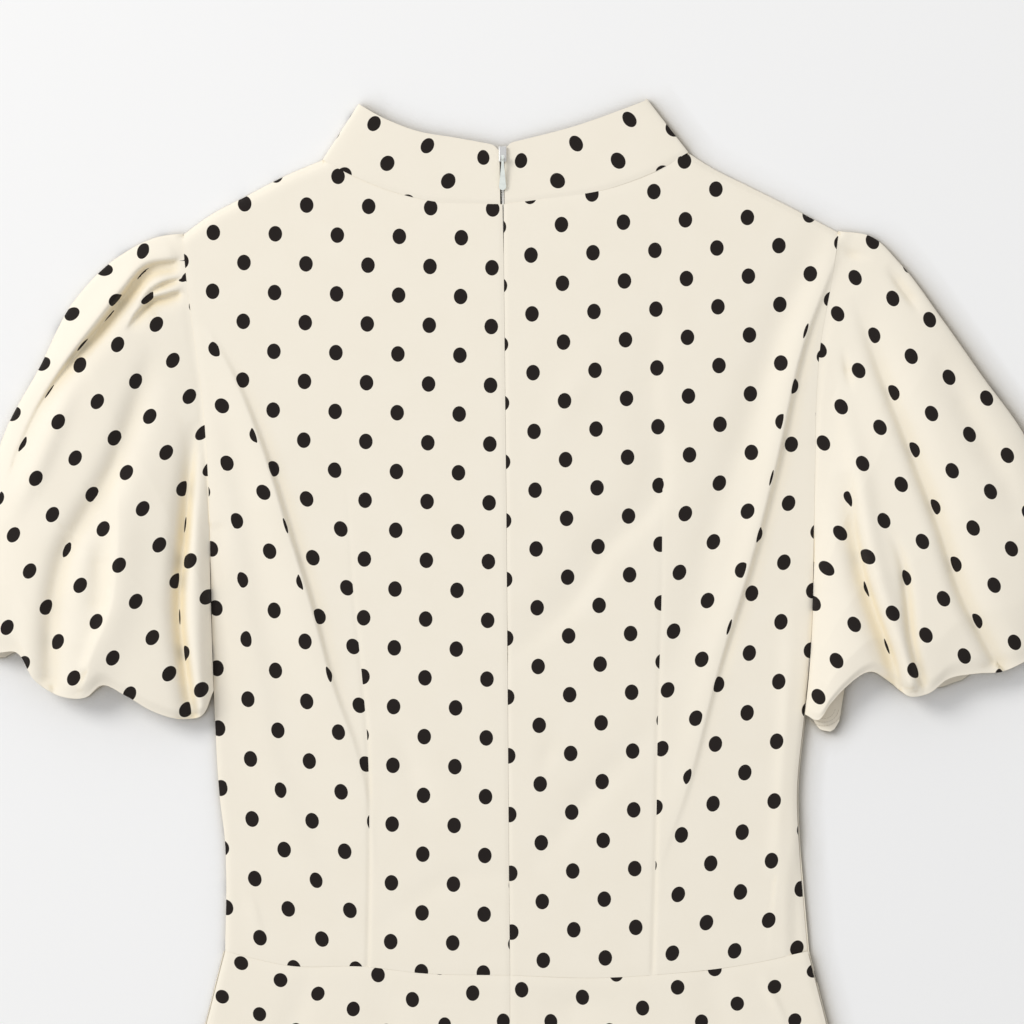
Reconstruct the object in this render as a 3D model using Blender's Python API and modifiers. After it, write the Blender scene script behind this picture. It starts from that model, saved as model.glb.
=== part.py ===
# A-line dress in dotted crepe, laid out flat on its front.
#
# Frame: +Z up, the dress lies on z = 0 with its back up and its collar toward +Y.
# The origin is at the centre of the waist, under the centre back seam.
# "Left" is at -X and "right" is at +X, which are the wearer's own sides.
# All sizes in the tables are in millimetres. MM turns them into metres.

import math
from collections import namedtuple

import bmesh
import bpy
import numpy as np
from mathutils import Vector

MM = 0.001

# ---------------------------------------------------------------- sizes (mm)
CLOTH = 1.2                 # wall of the single cloth
COLLAR_CLOTH = 1.6          # the collar is doubled and pressed
SEAM_GAP = 0.3              # between two pieces at a seam
HALF_GAP = SEAM_GAP / 2
CURVED_SEAM_GAP = 0.45      # along the collar, where both edges curve
ARMHOLE_GAP = 0.7           # along the armholes, where both edges curve and tilt
EDGE_CALM = 14.0            # folds die out over this width beside the armhole and the side seam
FRONT_LIP = 1.0             # the front shows this much past the back along the lower side seams
FRONT_LIP_TOP = 130.0       # and does so below this height
FOLD_ROOM = 0.5             # more room at the collar's two folded edges
FOLD_ROOM_REACH = 0.7       # which reaches this far toward the next station
FRONT_MID = CLOTH / 2       # middle of the front's wall, which lies on the surface
BACK_MID = 5.0              # middle of the back's wall, away from seams and folds
EDGE_MID = 2.2              # middle of the back's wall where it meets the front
SIDE_ROLL = 9.0             # width over which the back rounds down at a side seam
SHOULDER_ROLL = 6.0         # the same at a shoulder seam
SEAM_DIP = 0.6              # a pressed seam sinks by this much
SEAM_DIP_WIDTH = 5.0

SKIRT_LENGTH = 620.0        # waist to hem at the centre
SKIRT_FLARE = 0.255         # sideways run of a side seam for each mm down
HEM_RISE = 20.0             # the hem is an arc, so its ends lie higher

ZIP_TOP = 457.5             # y of the closed zip's top end
ZIP_END = -150.0            # y of its bottom stop, at the hip
COIL_HEIGHT = 1.0
COIL_ROWS = 24

# The coil lies between the layers, and rises and narrows where it runs between the collar's ends.
Coil = namedtuple("Coil", "y mid width")
COIL_RUN = (Coil(ZIP_TOP, BACK_MID, 1.2), Coil(440.0, BACK_MID, 1.2), Coil(424.0, 2.4, 1.3),
            Coil(400.0, 2.4, 1.2), Coil(370.0, 2.4, 2.4), Coil(ZIP_END, 2.4, 2.4))

# ------------------------------------------------------------- form (mm)
# Rows down the body: how far each side lies from the centre line x = 0.
Side = namedtuple("Side", "place y left right")
BODY_SIDES = (
    Side("shoulder tip", 412.0, -182.0, 182.4),
    Side("back arm", 381.0, -178.9, 177.7),
    Side("back arm", 353.0, -175.0, 172.6),
    Side("back arm", 320.0, -170.6, 169.9),
    Side("back arm", 285.0, -167.9, 169.2),
    Side("underarm", 230.0, -166.1, 168.2),
    Side("chest", 186.0, -165.0, 167.0),
    Side("chest", 146.0, -163.7, 163.2),
    Side("midriff", 100.0, -161.0, 159.0),
    Side("midriff", 74.0, -158.0, 160.0),
    Side("narrowest", 58.0, -157.4, 161.2),
    Side("waist seam", 13.5, -157.9, 165.0),
)
ROLL_START = 238.0          # the side starts to round down here, below the arm
ROLL_BLEND = 22.0           # and does so in full this much lower

# The centre back line, which leans a little as the dress lies.
Line = namedtuple("Line", "y x")
CENTRE_BACK = (Line(463.0, -4.2), Line(352.0, -3.0), Line(257.0, -2.0), Line(65.0, -0.6),
               Line(0.0, 0.0), Line(-640.0, 0.0))

# Half the slot between the two backs, wide only where the zip's coil shows.
Slot = namedtuple("Slot", "y half")
BACK_SLOT = (Slot(463.0, 1.3), Slot(424.0, 1.0), Slot(400.0, 0.2), Slot(-640.0, 0.15))

# Seams that run across, each from its left end to its right end.
SHOULDER_LEFT = ((-181.9, 410.5), (-166.0, 422.0), (-147.0, 432.0), (-126.0, 443.0))
SHOULDER_RIGHT = ((182.4, 412.0), (156.0, 426.0), (132.0, 438.0), (112.0, 448.0))
WAIST_LEFT = ((-157.9, 13.5), (-122.8, 5.6), (-80.6, 5.0), (-49.4, 1.4), (0.0, 0.2))
WAIST_RIGHT = ((165.0, 13.5), (133.9, 6.7), (85.0, 0.8), (49.4, -1.2), (0.0, 0.2))
WAIST_FRONT = ((-157.9, 13.5), (-110.0, -6.0), (-50.0, -18.0), (0.0, -21.0), (50.0, -18.0),
               (112.0, -6.0), (165.0, 13.5))

# The collar is one band from the left of the zip round the front to the right of the zip.
Station = namedtuple("Station", "place base_x base_y top_x top_y mid")
COLLAR_BAND = (
    Station("zip, left", -5.4, 427.9, -5.9, 460.4, BACK_MID),
    Station("back", -38.3, 429.3, -29.0, 464.6, 5.2),
    Station("back", -64.8, 435.1, -51.0, 468.4, 5.4),
    Station("back", -87.0, 444.0, -69.5, 475.4, 5.4),
    Station("left fold, over", -101.2, 451.4, -81.4, 482.0, 4.8),
    Station("left fold, edge", -103.6, 452.6, -83.6, 483.4, 3.0),
    Station("left fold, under", -102.4, 449.6, -81.8, 480.6, 1.2),
    Station("front", -96.6, 429.0, -69.6, 455.0, 0.82),
    Station("front", -81.6, 405.6, -55.0, 434.0, 0.82),
    Station("front", -51.0, 389.6, -36.0, 423.0, 0.82),
    Station("front", -3.5, 383.4, -3.5, 419.4, 0.82),
    Station("front", 44.0, 390.4, 29.0, 423.6, 0.82),
    Station("front", 75.6, 408.0, 50.0, 434.6, 0.82),
    Station("front", 91.6, 433.0, 63.0, 457.0, 0.82),
    Station("right fold, under", 97.4, 453.6, 74.0, 483.2, 1.2),
    Station("right fold, edge", 98.6, 456.6, 75.6, 486.2, 3.0),
    Station("right fold, over", 96.2, 455.6, 73.6, 484.8, 4.8),
    Station("back", 82.6, 447.4, 62.0, 480.4, 5.4),
    Station("back", 62.6, 439.4, 45.6, 474.4, 5.4),
    Station("back", 42.4, 434.3, 27.8, 468.9, 5.2),
    Station("zip, right", -3.0, 427.9, -3.1, 461.2, BACK_MID),
)

LEFT_FOLD = 5               # the rows of the two folds' edges
RIGHT_FOLD = 15

# Outlines of the two sleeves as they lie, each line from the body outward or downward.
SLEEVE_LEFT_OUTER = ((-182.6, 411.4), (-193.0, 410.2), (-216.7, 399.0), (-241.0, 375.0), (-262.0, 335.0),
                     (-278.0, 306.0), (-292.6, 254.0), (-299.0, 210.0), (-296.0, 182.0))
SLEEVE_LEFT_INNER = ((-167.9, 229.0), (-167.6, 205.0), (-166.8, 180.0), (-165.9, 158.0))
SLEEVE_LEFT_HEM = ((-296.0, 182.0), (-283.4, 179.4), (-274.0, 180.0), (-262.0, 163.5), (-247.0, 155.0),
                   (-234.0, 155.0), (-226.0, 161.5), (-212.0, 155.6), (-197.0, 147.0), (-182.0, 142.8),
                   (-171.5, 144.0), (-165.9, 158.0))
SLEEVE_RIGHT_OUTER = ((183.1, 413.0), (200.0, 410.0), (216.7, 394.5), (238.9, 365.0), (261.1, 333.4),
                      (285.6, 298.6), (300.0, 262.0), (305.6, 222.0), (299.0, 182.0))
SLEEVE_RIGHT_INNER = ((170.2, 229.0), (169.3, 190.0), (167.4, 165.0), (165.6, 148.0))
SLEEVE_RIGHT_HEM = ((299.0, 182.0), (285.6, 175.0), (272.2, 169.0), (258.0, 168.0), (242.0, 165.0),
                    (230.6, 156.8), (221.0, 155.4), (211.0, 162.6), (198.0, 169.0), (186.0, 163.0),
                    (176.0, 150.0), (165.6, 148.0))

# Folds: lift is the height of a ridge, or the depth of a trough below zero.
# near and far are the half widths on the two sides: near is on the left going along the path.
# start and end scale the lift at the two ends of the path.
Fold = namedtuple("Fold", "name lift near far start end path")
BODY_FOLDS = (
    Fold("left drag line", 2.0, 5.0, 22.0, 0.5, 0.3,
         ((-174.0, 360.0), (-146.0, 318.0), (-125.6, 257.0), (-105.6, 203.0), (-84.0, 123.0))),
    Fold("left armhole hollow", -1.0, 10.0, 10.0, 0.2, 0.6,
         ((-160.0, 330.0), (-146.0, 270.0), (-137.0, 190.0), (-131.0, 90.0))),
    Fold("right drag line", 1.8, 5.0, 20.0, 0.5, 0.2,
         ((178.0, 390.0), (155.6, 324.0), (135.6, 257.0), (117.0, 175.0), (92.0, 72.0))),
    Fold("right armhole hollow", -1.0, 9.0, 9.0, 0.2, 0.6,
         ((166.0, 350.0), (155.0, 280.0), (146.0, 190.0), (140.0, 90.0))),
    Fold("left dart", -0.8, 4.0, 4.0, 0.0, 1.0,
         ((-90.6, 281.0), (-86.7, 214.0), (-82.2, 148.0), (-79.0, 100.0), (-78.0, 5.0))),
    Fold("right dart", -0.8, 4.0, 4.0, 0.0, 1.0,
         ((85.0, 281.0), (84.4, 207.0), (82.2, 141.0), (80.6, 76.0), (79.0, 2.0))),
)
SKIRT_FOLDS = (
    Fold("left flute", 2.6, 26.0, 20.0, 0.0, 1.2, ((-96.0, -60.0), (-128.0, -330.0), (-170.0, -620.0))),
    Fold("left hollow", -1.0, 16.0, 22.0, 0.0, 1.2, ((-66.0, -40.0), (-84.0, -330.0), (-112.0, -620.0))),
    Fold("left inner flute", 2.2, 18.0, 24.0, 0.0, 1.2, ((-34.0, -150.0), (-42.0, -400.0), (-56.0, -620.0))),
    Fold("left edge flute", 1.8, 16.0, 16.0, 0.0, 1.2,
         ((-190.0, -200.0), (-222.0, -400.0), (-262.0, -620.0))),
    Fold("right flute", 2.6, 18.0, 26.0, 0.0, 1.2, ((88.0, -90.0), (108.0, -330.0), (134.0, -620.0))),
    Fold("right hollow", -1.0, 18.0, 18.0, 0.0, 1.2, ((124.0, -60.0), (150.0, -330.0), (190.0, -620.0))),
    Fold("right inner flute", 1.8, 20.0, 16.0, 0.0, 1.2, ((30.0, -220.0), (38.0, -420.0), (48.0, -620.0))),
    Fold("right edge flute", 2.2, 16.0, 20.0, 0.0, 1.2, ((176.0, -150.0), (212.0, -380.0), (256.0, -620.0))),
)
SLEEVE_LEFT_FOLDS = (
    Fold("cap pleat", -8.0, 9.0, 6.0, 0.6, 0.7,
         ((-185.0, 396.0), (-205.6, 389.0), (-232.8, 357.0), (-257.8, 325.0), (-276.0, 270.0))),
    Fold("second pleat", -4.0, 6.0, 5.0, 0.7, 0.2,
         ((-185.0, 379.0), (-201.7, 371.0), (-213.4, 355.0), (-222.0, 330.0))),
    Fold("outer ridge", 6.0, 14.0, 6.0, 0.3, 0.9,
         ((-228.0, 357.0), (-247.0, 303.0), (-258.4, 268.0), (-270.0, 226.0), (-279.0, 184.0))),
    Fold("middle trough", -8.0, 11.0, 8.0, 0.1, 1.3,
         ((-194.5, 300.0), (-206.0, 250.0), (-213.4, 215.0), (-223.9, 176.0), (-229.0, 156.0))),
    Fold("inner trough", -9.0, 9.0, 8.0, 0.1, 0.9,
         ((-176.0, 330.0), (-181.0, 270.0), (-185.0, 208.0), (-181.6, 170.0), (-178.0, 144.0))),
    Fold("inner roll", 4.0, 6.0, 6.0, 0.1, 1.2,
         ((-174.0, 270.0), (-174.5, 208.0), (-173.4, 175.0), (-172.4, 146.0))),
)
SLEEVE_RIGHT_FOLDS = (
    Fold("cap pleat", -3.0, 5.0, 6.0, 1.0, 0.5, ((183.0, 404.0), (192.0, 400.0), (201.7, 396.0))),
    Fold("outer trough", -4.0, 8.0, 6.0, 0.6, 0.4,
         ((206.0, 400.0), (218.9, 380.6), (232.0, 362.0), (252.0, 332.0))),
    Fold("upper trough", -3.0, 10.0, 8.0, 0.8, 0.2,
         ((187.2, 395.0), (193.4, 374.5), (205.6, 341.7), (222.8, 307.3))),
    Fold("main trough", -9.0, 7.0, 9.0, 0.1, 1.0,
         ((179.0, 320.0), (189.5, 261.0), (196.0, 222.0), (206.0, 186.0), (212.0, 160.0))),
    Fold("main ridge", 5.0, 8.0, 5.0, 0.2, 1.2,
         ((193.0, 300.0), (203.0, 250.0), (212.0, 208.0), (220.0, 158.0))),
    Fold("soft trough", -3.0, 6.0, 7.0, 0.2, 1.2, ((217.0, 237.0), (224.0, 208.0), (229.0, 172.0))),
    Fold("outer fold", -8.0, 9.0, 9.0, 0.1, 1.1,
         ((222.0, 300.0), (232.8, 267.0), (250.0, 224.0), (262.0, 193.0), (272.0, 170.0))),
    Fold("edge ridge", 4.0, 8.0, 12.0, 0.1, 1.0, ((258.0, 250.0), (270.0, 215.0), (281.0, 176.0))),
)

SLEEVE_CALM = 0.12          # folds grow in over this share of the sleeve's length
SLEEVE_SHOULDERS = 3.0      # a higher power makes the sleeve's back flatter and its edges rounder
SLEEVE_EDGE_POWER = 24.0    # the under layer turns up only close to its edges

# How high the top layer of a sleeve stands above the surface, from the cap to the hem.
Rise = namedtuple("Rise", "along height fold")
SLEEVE_RISE = (Rise(0.0, BACK_MID, 2.6), Rise(0.1, 8.0, 3.0), Rise(0.3, 15.0, 4.0),
               Rise(0.6, 21.0, 5.0), Rise(0.85, 23.0, 6.0), Rise(1.0, 21.0, 6.0))
SLEEVE_LEAST = 6.0          # the top layer's middle never comes lower than this past the cap

# Where the under layer of a sleeve reaches out past the top layer's hem.
Tongue = namedtuple("Tongue", "x half drop")
TONGUE_START = 0.8          # share of the sleeve's length where such a reach begins
TONGUES = (Tongue(175.4, 8.0, 13.0), Tongue(245.0, 9.0, 4.0), Tongue(-284.0, 9.0, 3.0))

# Grid columns and rows. The neck edge has two columns for each stretch between the
# collar's stations, so the two edges have the same corners.
SHOULDER_COLUMNS = 8
NECK_COLUMNS = 10
BACK_COLUMNS = SHOULDER_COLUMNS + NECK_COLUMNS
BODICE_ROWS = 24
SKIRT_ROWS = 12
SLEEVE_COLUMNS = 38
SLEEVE_ROWS = 20
SLEEVE_TOP_SHARE = 0.66     # this share of a sleeve's columns is in its top layer
SIDE_CROWDING = 1.4         # columns stand closer toward the side seam
CENTRE_POWER = 8            # a seam's end is moved off the centre line, and the rest hardly at all
CHAIN_POINTS = 33           # points along a seam or fold when it is measured to
COLLAR_ROWS = 4

# Points along each stretch of the two front outlines.
WAIST_POINTS = 15
SIDE_POINTS = 23
SHOULDER_POINTS = 6
HEM_POINTS = 25

# ------------------------------------------------------------------- zip (mm)
SLIDER_WIDTH = 4.4
SLIDER_LENGTH = 8.6
SLIDER_HEIGHT = 1.7
SLIDER_Y = 455.6            # middle of the slider
SLIDER_BASE = BACK_MID + COLLAR_CLOTH / 2 + SEAM_GAP   # its underside, just over the collar
SLIDER_BEVEL = 0.5
LUG_THICK = 0.6
LUG_LENGTH = 2.0
LUG_ROOT = 0.8              # how deep a lug stands in the slider
LUG_CROWN = 1.0             # how far it reaches over the pin's axis
LUG_BEVEL = 0.15
LUG_RISE = 2.1              # pin axis above the slider's top
LUG_APART = 2.0             # between the two lugs' inner faces
PIN_RADIUS = 0.45
EYE_BORE = 0.8
EYE_RADIUS = 1.5
EYE_WIDTH = 1.4
ROD_SIDES = 20
PIN_Y = 453.4
PULL_LENGTH = 18.0
PULL_NECK = 1.3             # width at the eye
PULL_WIDTH = 3.9            # width across the round end
PULL_THICK = 0.9
PULL_NECK_START = 0.6       # the plate starts inside the eye, at this share of its radius
PULL_NECK_END = 1.6         # and widens from this many radii below its axis
PULL_END_TURN = (0.94, 2.06)   # the round end runs between these half turns
PULL_END_POINTS = 13
PULL_TILT = math.radians(10.7)   # the tab's free end rests on the collar

# -------------------------------------------------------------------- colours
CREAM = (0.89, 0.84, 0.72, 1.0)
SILVER = (0.62, 0.62, 0.60, 1.0)
GREY_COIL = (0.66, 0.66, 0.62, 1.0)
MINT_WHITE = (0.82, 0.86, 0.82, 1.0)


def clear_scene():
    for item in list(bpy.data.objects):
        bpy.data.objects.remove(item, do_unlink=True)


def make_material(name, colour, roughness, metallic=0.0):
    material = bpy.data.materials.new(name)
    material.use_nodes = True
    shader = material.node_tree.nodes["Principled BSDF"]
    shader.inputs["Base Color"].default_value = colour
    shader.inputs["Roughness"].default_value = roughness
    shader.inputs["Metallic"].default_value = metallic
    return material


def finish_object(item, material, collection):
    """Give an object its material and its place in the collection."""
    item.data.materials.append(material)
    collection.objects.link(item)
    return item


# ------------------------------------------------------------ curves and folds
def hermite(start, end, slope_start, slope_end, u):
    """A smooth step from start to end with a given slope at each."""
    ease = u * u * (3.0 - 2.0 * u)
    bend = slope_start * u * (1.0 - u) ** 2 + slope_end * u * u * (u - 1.0)
    return start * (1.0 - ease) + end * ease + bend


def smooth_point(points, share):
    """The point at a share of the way along a smooth curve through the points."""
    rows = np.array(points, dtype=float)
    steps = np.linalg.norm(np.diff(rows, axis=0), axis=1)
    reach = np.concatenate(([0.0], np.cumsum(steps)))
    slopes = np.gradient(rows, reach, axis=0)
    at = min(max(share, 0.0), 1.0) * reach[-1]
    k = min(int(np.searchsorted(reach, at, side="right")) - 1, len(steps) - 1)
    u = (at - reach[k]) / steps[k]
    return hermite(rows[k], rows[k + 1], slopes[k] * steps[k], slopes[k + 1] * steps[k], u)


def table_value(rows, key, value, at):
    """Read a table between its rows, whichever way its keys run."""
    keys = [getattr(row, key) for row in rows]
    values = [getattr(row, value) for row in rows]
    if keys[0] > keys[-1]:
        keys.reverse()
        values.reverse()
    return float(np.interp(at, keys, values))


def chain_of(points):
    """A seam or fold as a fine chain of points."""
    return np.array([smooth_point(points, share) for share in np.linspace(0.0, 1.0, CHAIN_POINTS)])


def measure_to(chain, x, y):
    """Distance from a place to a chain, which side it is on (+1 left), and how far along."""
    here = np.array((x, y))
    run = chain[1:] - chain[:-1]
    along = np.clip(((here - chain[:-1]) * run).sum(axis=1) / (run * run).sum(axis=1), 0.0, 1.0)
    offset = here - (chain[:-1] + run * along[:, None])
    apart = np.hypot(offset[:, 0], offset[:, 1])
    k = int(apart.argmin())
    side = 1 if run[k][0] * offset[k][1] > run[k][1] * offset[k][0] else -1
    return float(apart[k]), side, (k + along[k]) / len(run)


def fold_lift(folds, chains, x, y):
    """Sum of every ridge and trough at one place."""
    total = 0.0
    for fold, chain in zip(folds, chains):
        apart, side, share = measure_to(chain, x, y)
        width = fold.near if side > 0 else fold.far
        scale = fold.start + (fold.end - fold.start) * share
        total += fold.lift * scale * math.exp(-(apart / width) ** 2)
    return total


def fold_chains(folds):
    return [chain_of(fold.path) for fold in folds]


def coons(bottom, top, left, right, s, t):
    """Fill a four-sided outline. Each side is a function of its own share."""
    across = (1.0 - t) * bottom(s) + t * top(s)
    down = (1.0 - s) * left(t) + s * right(t)
    corners = (1.0 - t) * ((1.0 - s) * bottom(0.0) + s * bottom(1.0))
    corners += t * ((1.0 - s) * top(0.0) + s * top(1.0))
    return across + down - corners


def seam_dip(chain, x, y):
    """A pressed seam lies a little lower than the cloth beside it."""
    return SEAM_DIP * math.exp(-(measure_to(chain, x, y)[0] / SEAM_DIP_WIDTH) ** 2)


def round_down(mid, gap, reach, share):
    """Bring the height down to the edge's over the last stretch, as a quarter of an ellipse."""
    if gap >= reach or share <= 0.0:
        return mid
    rise = math.sqrt(max(1.0 - (1.0 - gap / reach) ** 2, 0.0))
    low = EDGE_MID + (mid - EDGE_MID) * rise
    return mid + (low - mid) * share


def crowd_side(u):
    """Move a column's share toward the side seam, up to the column at the neck's corner."""
    split = SHOULDER_COLUMNS / BACK_COLUMNS
    if u >= split:
        return u
    return split * (u / split) ** SIDE_CROWDING


# ------------------------------------------------------------------ cloth maker
def make_cloth(name, columns, rows, place, wall, closed=False):
    """A wall of cloth: a grid bent into place, with Solidify for its thickness.

    place(u, v) gives a point in mm for the grid's two shares.
    A closed cloth is a tube: its first and last columns are joined.
    """
    cloth = bmesh.new()
    bmesh.ops.create_grid(cloth, x_segments=columns, y_segments=rows, size=0.5)
    for vert in cloth.verts:
        u = min(max(vert.co.x + 0.5, 0.0), 1.0)
        v = min(max(vert.co.y + 0.5, 0.0), 1.0)
        vert.co = Vector(place(u, v)) * MM
    if closed:
        bmesh.ops.remove_doubles(cloth, verts=cloth.verts, dist=1e-6)
    mesh = bpy.data.meshes.new(name)
    cloth.to_mesh(mesh)
    cloth.free()
    mesh.shade_smooth()
    item = bpy.data.objects.new(name, mesh)
    solid = item.modifiers.new("wall", "SOLIDIFY")
    solid.thickness = wall * MM
    solid.offset = 0.0
    return item


def make_flat_piece(name, outline, thick):
    """A flat piece on the surface, from its outline in mm, anticlockwise from above."""
    curve = bpy.data.curves.new(name, "CURVE")
    curve.dimensions = "2D"
    curve.fill_mode = "BOTH"
    curve.extrude = thick * MM / 2
    spline = curve.splines.new("POLY")
    spline.points.add(len(outline) - 1)
    for point, (x, y) in zip(spline.points, outline):
        point.co = (x * MM, y * MM, 0.0, 1.0)
    spline.use_cyclic_u = True
    item = bpy.data.objects.new(name, curve)
    item.location.z = thick * MM / 2
    weld = item.modifiers.new("caps", "WELD")
    weld.merge_threshold = 0.00001
    return item


# ---------------------------------------------------------------------- bodice
def centre_back(y):
    return table_value(CENTRE_BACK, "y", "x", y)


def slot_half(y):
    return table_value(BACK_SLOT, "y", "half", y)


def side_x(y, side):
    """How far out a side lies at a height, on a smooth curve through the rows."""
    rows = [(row.y, row.left if side < 0 else row.right) for row in reversed(BODY_SIDES)]
    heights, places = np.array(rows).T
    slopes = np.gradient(places, heights)
    k = min(max(int(np.searchsorted(heights, y)) - 1, 0), len(heights) - 2)
    span = heights[k + 1] - heights[k]
    u = (y - heights[k]) / span
    return float(hermite(places[k], places[k + 1], slopes[k] * span, slopes[k + 1] * span, u))


def neck_edge(first, last, share):
    """The bodice's edge along the collar, a seam's gap below it, between two of its stations."""
    at = first + (last - first) * share
    k = min(int(at), len(COLLAR_BAND) - 2)
    base = station_point([(row.base_x, row.base_y) for row in COLLAR_BAND], k, at - k)
    top = station_point([(row.top_x, row.top_y) for row in COLLAR_BAND], k, at - k)
    away = (base - top) / np.linalg.norm(base - top)
    from_fold = min(abs(at - LEFT_FOLD), abs(at - RIGHT_FOLD))
    return base + away * (CURVED_SEAM_GAP + FOLD_ROOM * math.exp(-(from_fold / FOLD_ROOM_REACH) ** 2))


def shoulder_line(side):
    """The shoulder seam's points, from the arm to the collar."""
    points = SHOULDER_LEFT if side < 0 else SHOULDER_RIGHT
    station = LEFT_FOLD if side < 0 else RIGHT_FOLD
    return points + (tuple(neck_edge(station, station, 0.0)),)


def back_bodice_place(side):
    """The plan of one back half: u from the side seam to the centre, v from the waist to the top."""
    shoulder = shoulder_line(side)
    fold, zip_end = (LEFT_FOLD, 0) if side < 0 else (RIGHT_FOLD, len(COLLAR_BAND) - 1)
    waist = WAIST_LEFT if side < 0 else WAIST_RIGHT
    low_end = waist[0][1] + HALF_GAP
    top_y = neck_edge(fold, zip_end, 1.0)[1]
    split = SHOULDER_COLUMNS / BACK_COLUMNS

    def bottom(s):
        point = smooth_point(waist, s) + np.array((0.0, HALF_GAP))
        point[0] += side * slot_half(point[1]) * s ** CENTRE_POWER
        return point

    def top(s):
        if s < split:
            return smooth_point(shoulder, s / split)
        return neck_edge(fold, zip_end, (s - split) / (1.0 - split))

    def left(t):
        y = low_end + (shoulder[0][1] - low_end) * t
        return np.array((side_x(y, side), y))

    def right(t):
        start = bottom(1.0)[1]
        y = start + (top_y - start) * t
        return np.array((centre_back(y) + side * slot_half(y), y))

    chains = fold_chains(BODY_FOLDS)
    shoulder_chain = chain_of(shoulder)
    neck_shares = np.linspace(0.0, 1.0, CHAIN_POINTS)
    neck_chain = np.array([neck_edge(fold, zip_end, share) for share in neck_shares])
    waist_chain = chain_of(waist)

    def place(u, v):
        x, y = coons(bottom, top, left, right, crowd_side(u), v)
        side_gap = abs(side_x(y, side) - x)
        mid = BACK_MID + fold_lift(BODY_FOLDS, chains, x, y) * min(side_gap / EDGE_CALM, 1.0)
        mid -= seam_dip(neck_chain, x, y) + seam_dip(waist_chain, x, y)
        # the side seam below the arm and the shoulder seam round down to the front
        below_arm = min(max((ROLL_START - y) / ROLL_BLEND, 0.0), 1.0)
        mid = round_down(mid, side_gap, SIDE_ROLL, below_arm)
        mid = round_down(mid, measure_to(shoulder_chain, x, y)[0], SHOULDER_ROLL, 1.0)
        return x, y, mid

    return place


def make_back_half(name, side, place, rows):
    """A back half of the bodice or skirt, with its outer face up on either side."""
    if side < 0:
        return make_cloth(name, BACK_COLUMNS, rows, place, CLOTH)
    return make_cloth(name, BACK_COLUMNS, rows, lambda u, v: place(1.0 - u, v), CLOTH)


def front_bodice_outline():
    """Once round the front bodice: waist, right side, shoulder, neck, left shoulder, left side."""
    waist_shares = np.linspace(0.0, 1.0, WAIST_POINTS)
    shoulder_shares = np.linspace(0.0, 1.0, SHOULDER_POINTS)
    neck_shares = np.linspace(0.0, 1.0, 2 * (RIGHT_FOLD - LEFT_FOLD) + 1)
    low_end = WAIST_FRONT[0][1] + HALF_GAP

    outline = [smooth_point(WAIST_FRONT, share) + np.array((0.0, HALF_GAP)) for share in waist_shares[:-1]]
    for y in np.linspace(low_end, SHOULDER_RIGHT[0][1], SIDE_POINTS):
        outline.append(np.array((side_x(y, 1) + (FRONT_LIP if y < FRONT_LIP_TOP else 0.0), y)))
    outline += [smooth_point(shoulder_line(1), share) for share in shoulder_shares[1:-1]]
    outline += [neck_edge(LEFT_FOLD, RIGHT_FOLD, share) for share in neck_shares[::-1]]
    outline += [smooth_point(shoulder_line(-1), share) for share in shoulder_shares[-2:0:-1]]
    for y in np.linspace(SHOULDER_LEFT[0][1], low_end, SIDE_POINTS)[:-1]:
        outline.append(np.array((side_x(y, -1), y)))
    return outline


# ----------------------------------------------------------------------- skirt
def skirt_side(y, side):
    """The side seam runs out straight from the waist to the hem."""
    waist_y = BODY_SIDES[-1].y
    start = BODY_SIDES[-1].left if side < 0 else BODY_SIDES[-1].right
    return start + side * SKIRT_FLARE * (waist_y - y)


def hem_y(x):
    reach = skirt_side(-SKIRT_LENGTH, 1)
    return -SKIRT_LENGTH + HEM_RISE * (x / reach) ** 2


def back_skirt_place(side):
    """The plan of one back half of the skirt: u from the side seam to the centre, v upward."""
    waist = WAIST_LEFT if side < 0 else WAIST_RIGHT
    hem_end = skirt_side(-SKIRT_LENGTH + HEM_RISE, side)
    top_end = waist[0][1] - HALF_GAP

    def bottom(s):
        x = hem_end + (side * HALF_GAP - hem_end) * s
        return np.array((x, hem_y(x)))

    def top(s):
        point = smooth_point(waist, s) - np.array((0.0, HALF_GAP))
        point[0] += side * HALF_GAP * s ** CENTRE_POWER
        return point

    def left(t):
        y = hem_y(hem_end) + (top_end - hem_y(hem_end)) * t
        return np.array((skirt_side(y, side), y))

    def right(t):
        y = hem_y(0.0) + (top(1.0)[1] - hem_y(0.0)) * t
        return np.array((side * HALF_GAP, y))

    chains = fold_chains(SKIRT_FOLDS)
    waist_chain = chain_of(waist)

    def place(u, v):
        x, y = coons(bottom, top, left, right, crowd_side(u), v)
        mid = BACK_MID + fold_lift(SKIRT_FOLDS, chains, x, y) - seam_dip(waist_chain, x, y)
        mid = round_down(mid, abs(skirt_side(y, side) - x), SIDE_ROLL, 1.0)
        return x, y, mid

    return place


def front_skirt_outline():
    """Once round the front skirt: hem, right side, waist."""
    left_end = skirt_side(-SKIRT_LENGTH + HEM_RISE, -1) - FRONT_LIP
    right_end = skirt_side(-SKIRT_LENGTH + HEM_RISE, 1) + FRONT_LIP
    hem = [np.array((x, hem_y(x))) for x in np.linspace(left_end, right_end, HEM_POINTS)]
    waist_shares = np.linspace(0.0, 1.0, WAIST_POINTS)
    waist = [smooth_point(WAIST_FRONT, share) - np.array((0.0, HALF_GAP)) for share in waist_shares]
    waist[0][0] -= FRONT_LIP
    waist[-1][0] += FRONT_LIP
    return hem + waist[::-1]


# --------------------------------------------------------------------- sleeves
def rise_at(t, column):
    return table_value(SLEEVE_RISE, "along", column, t)


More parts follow.
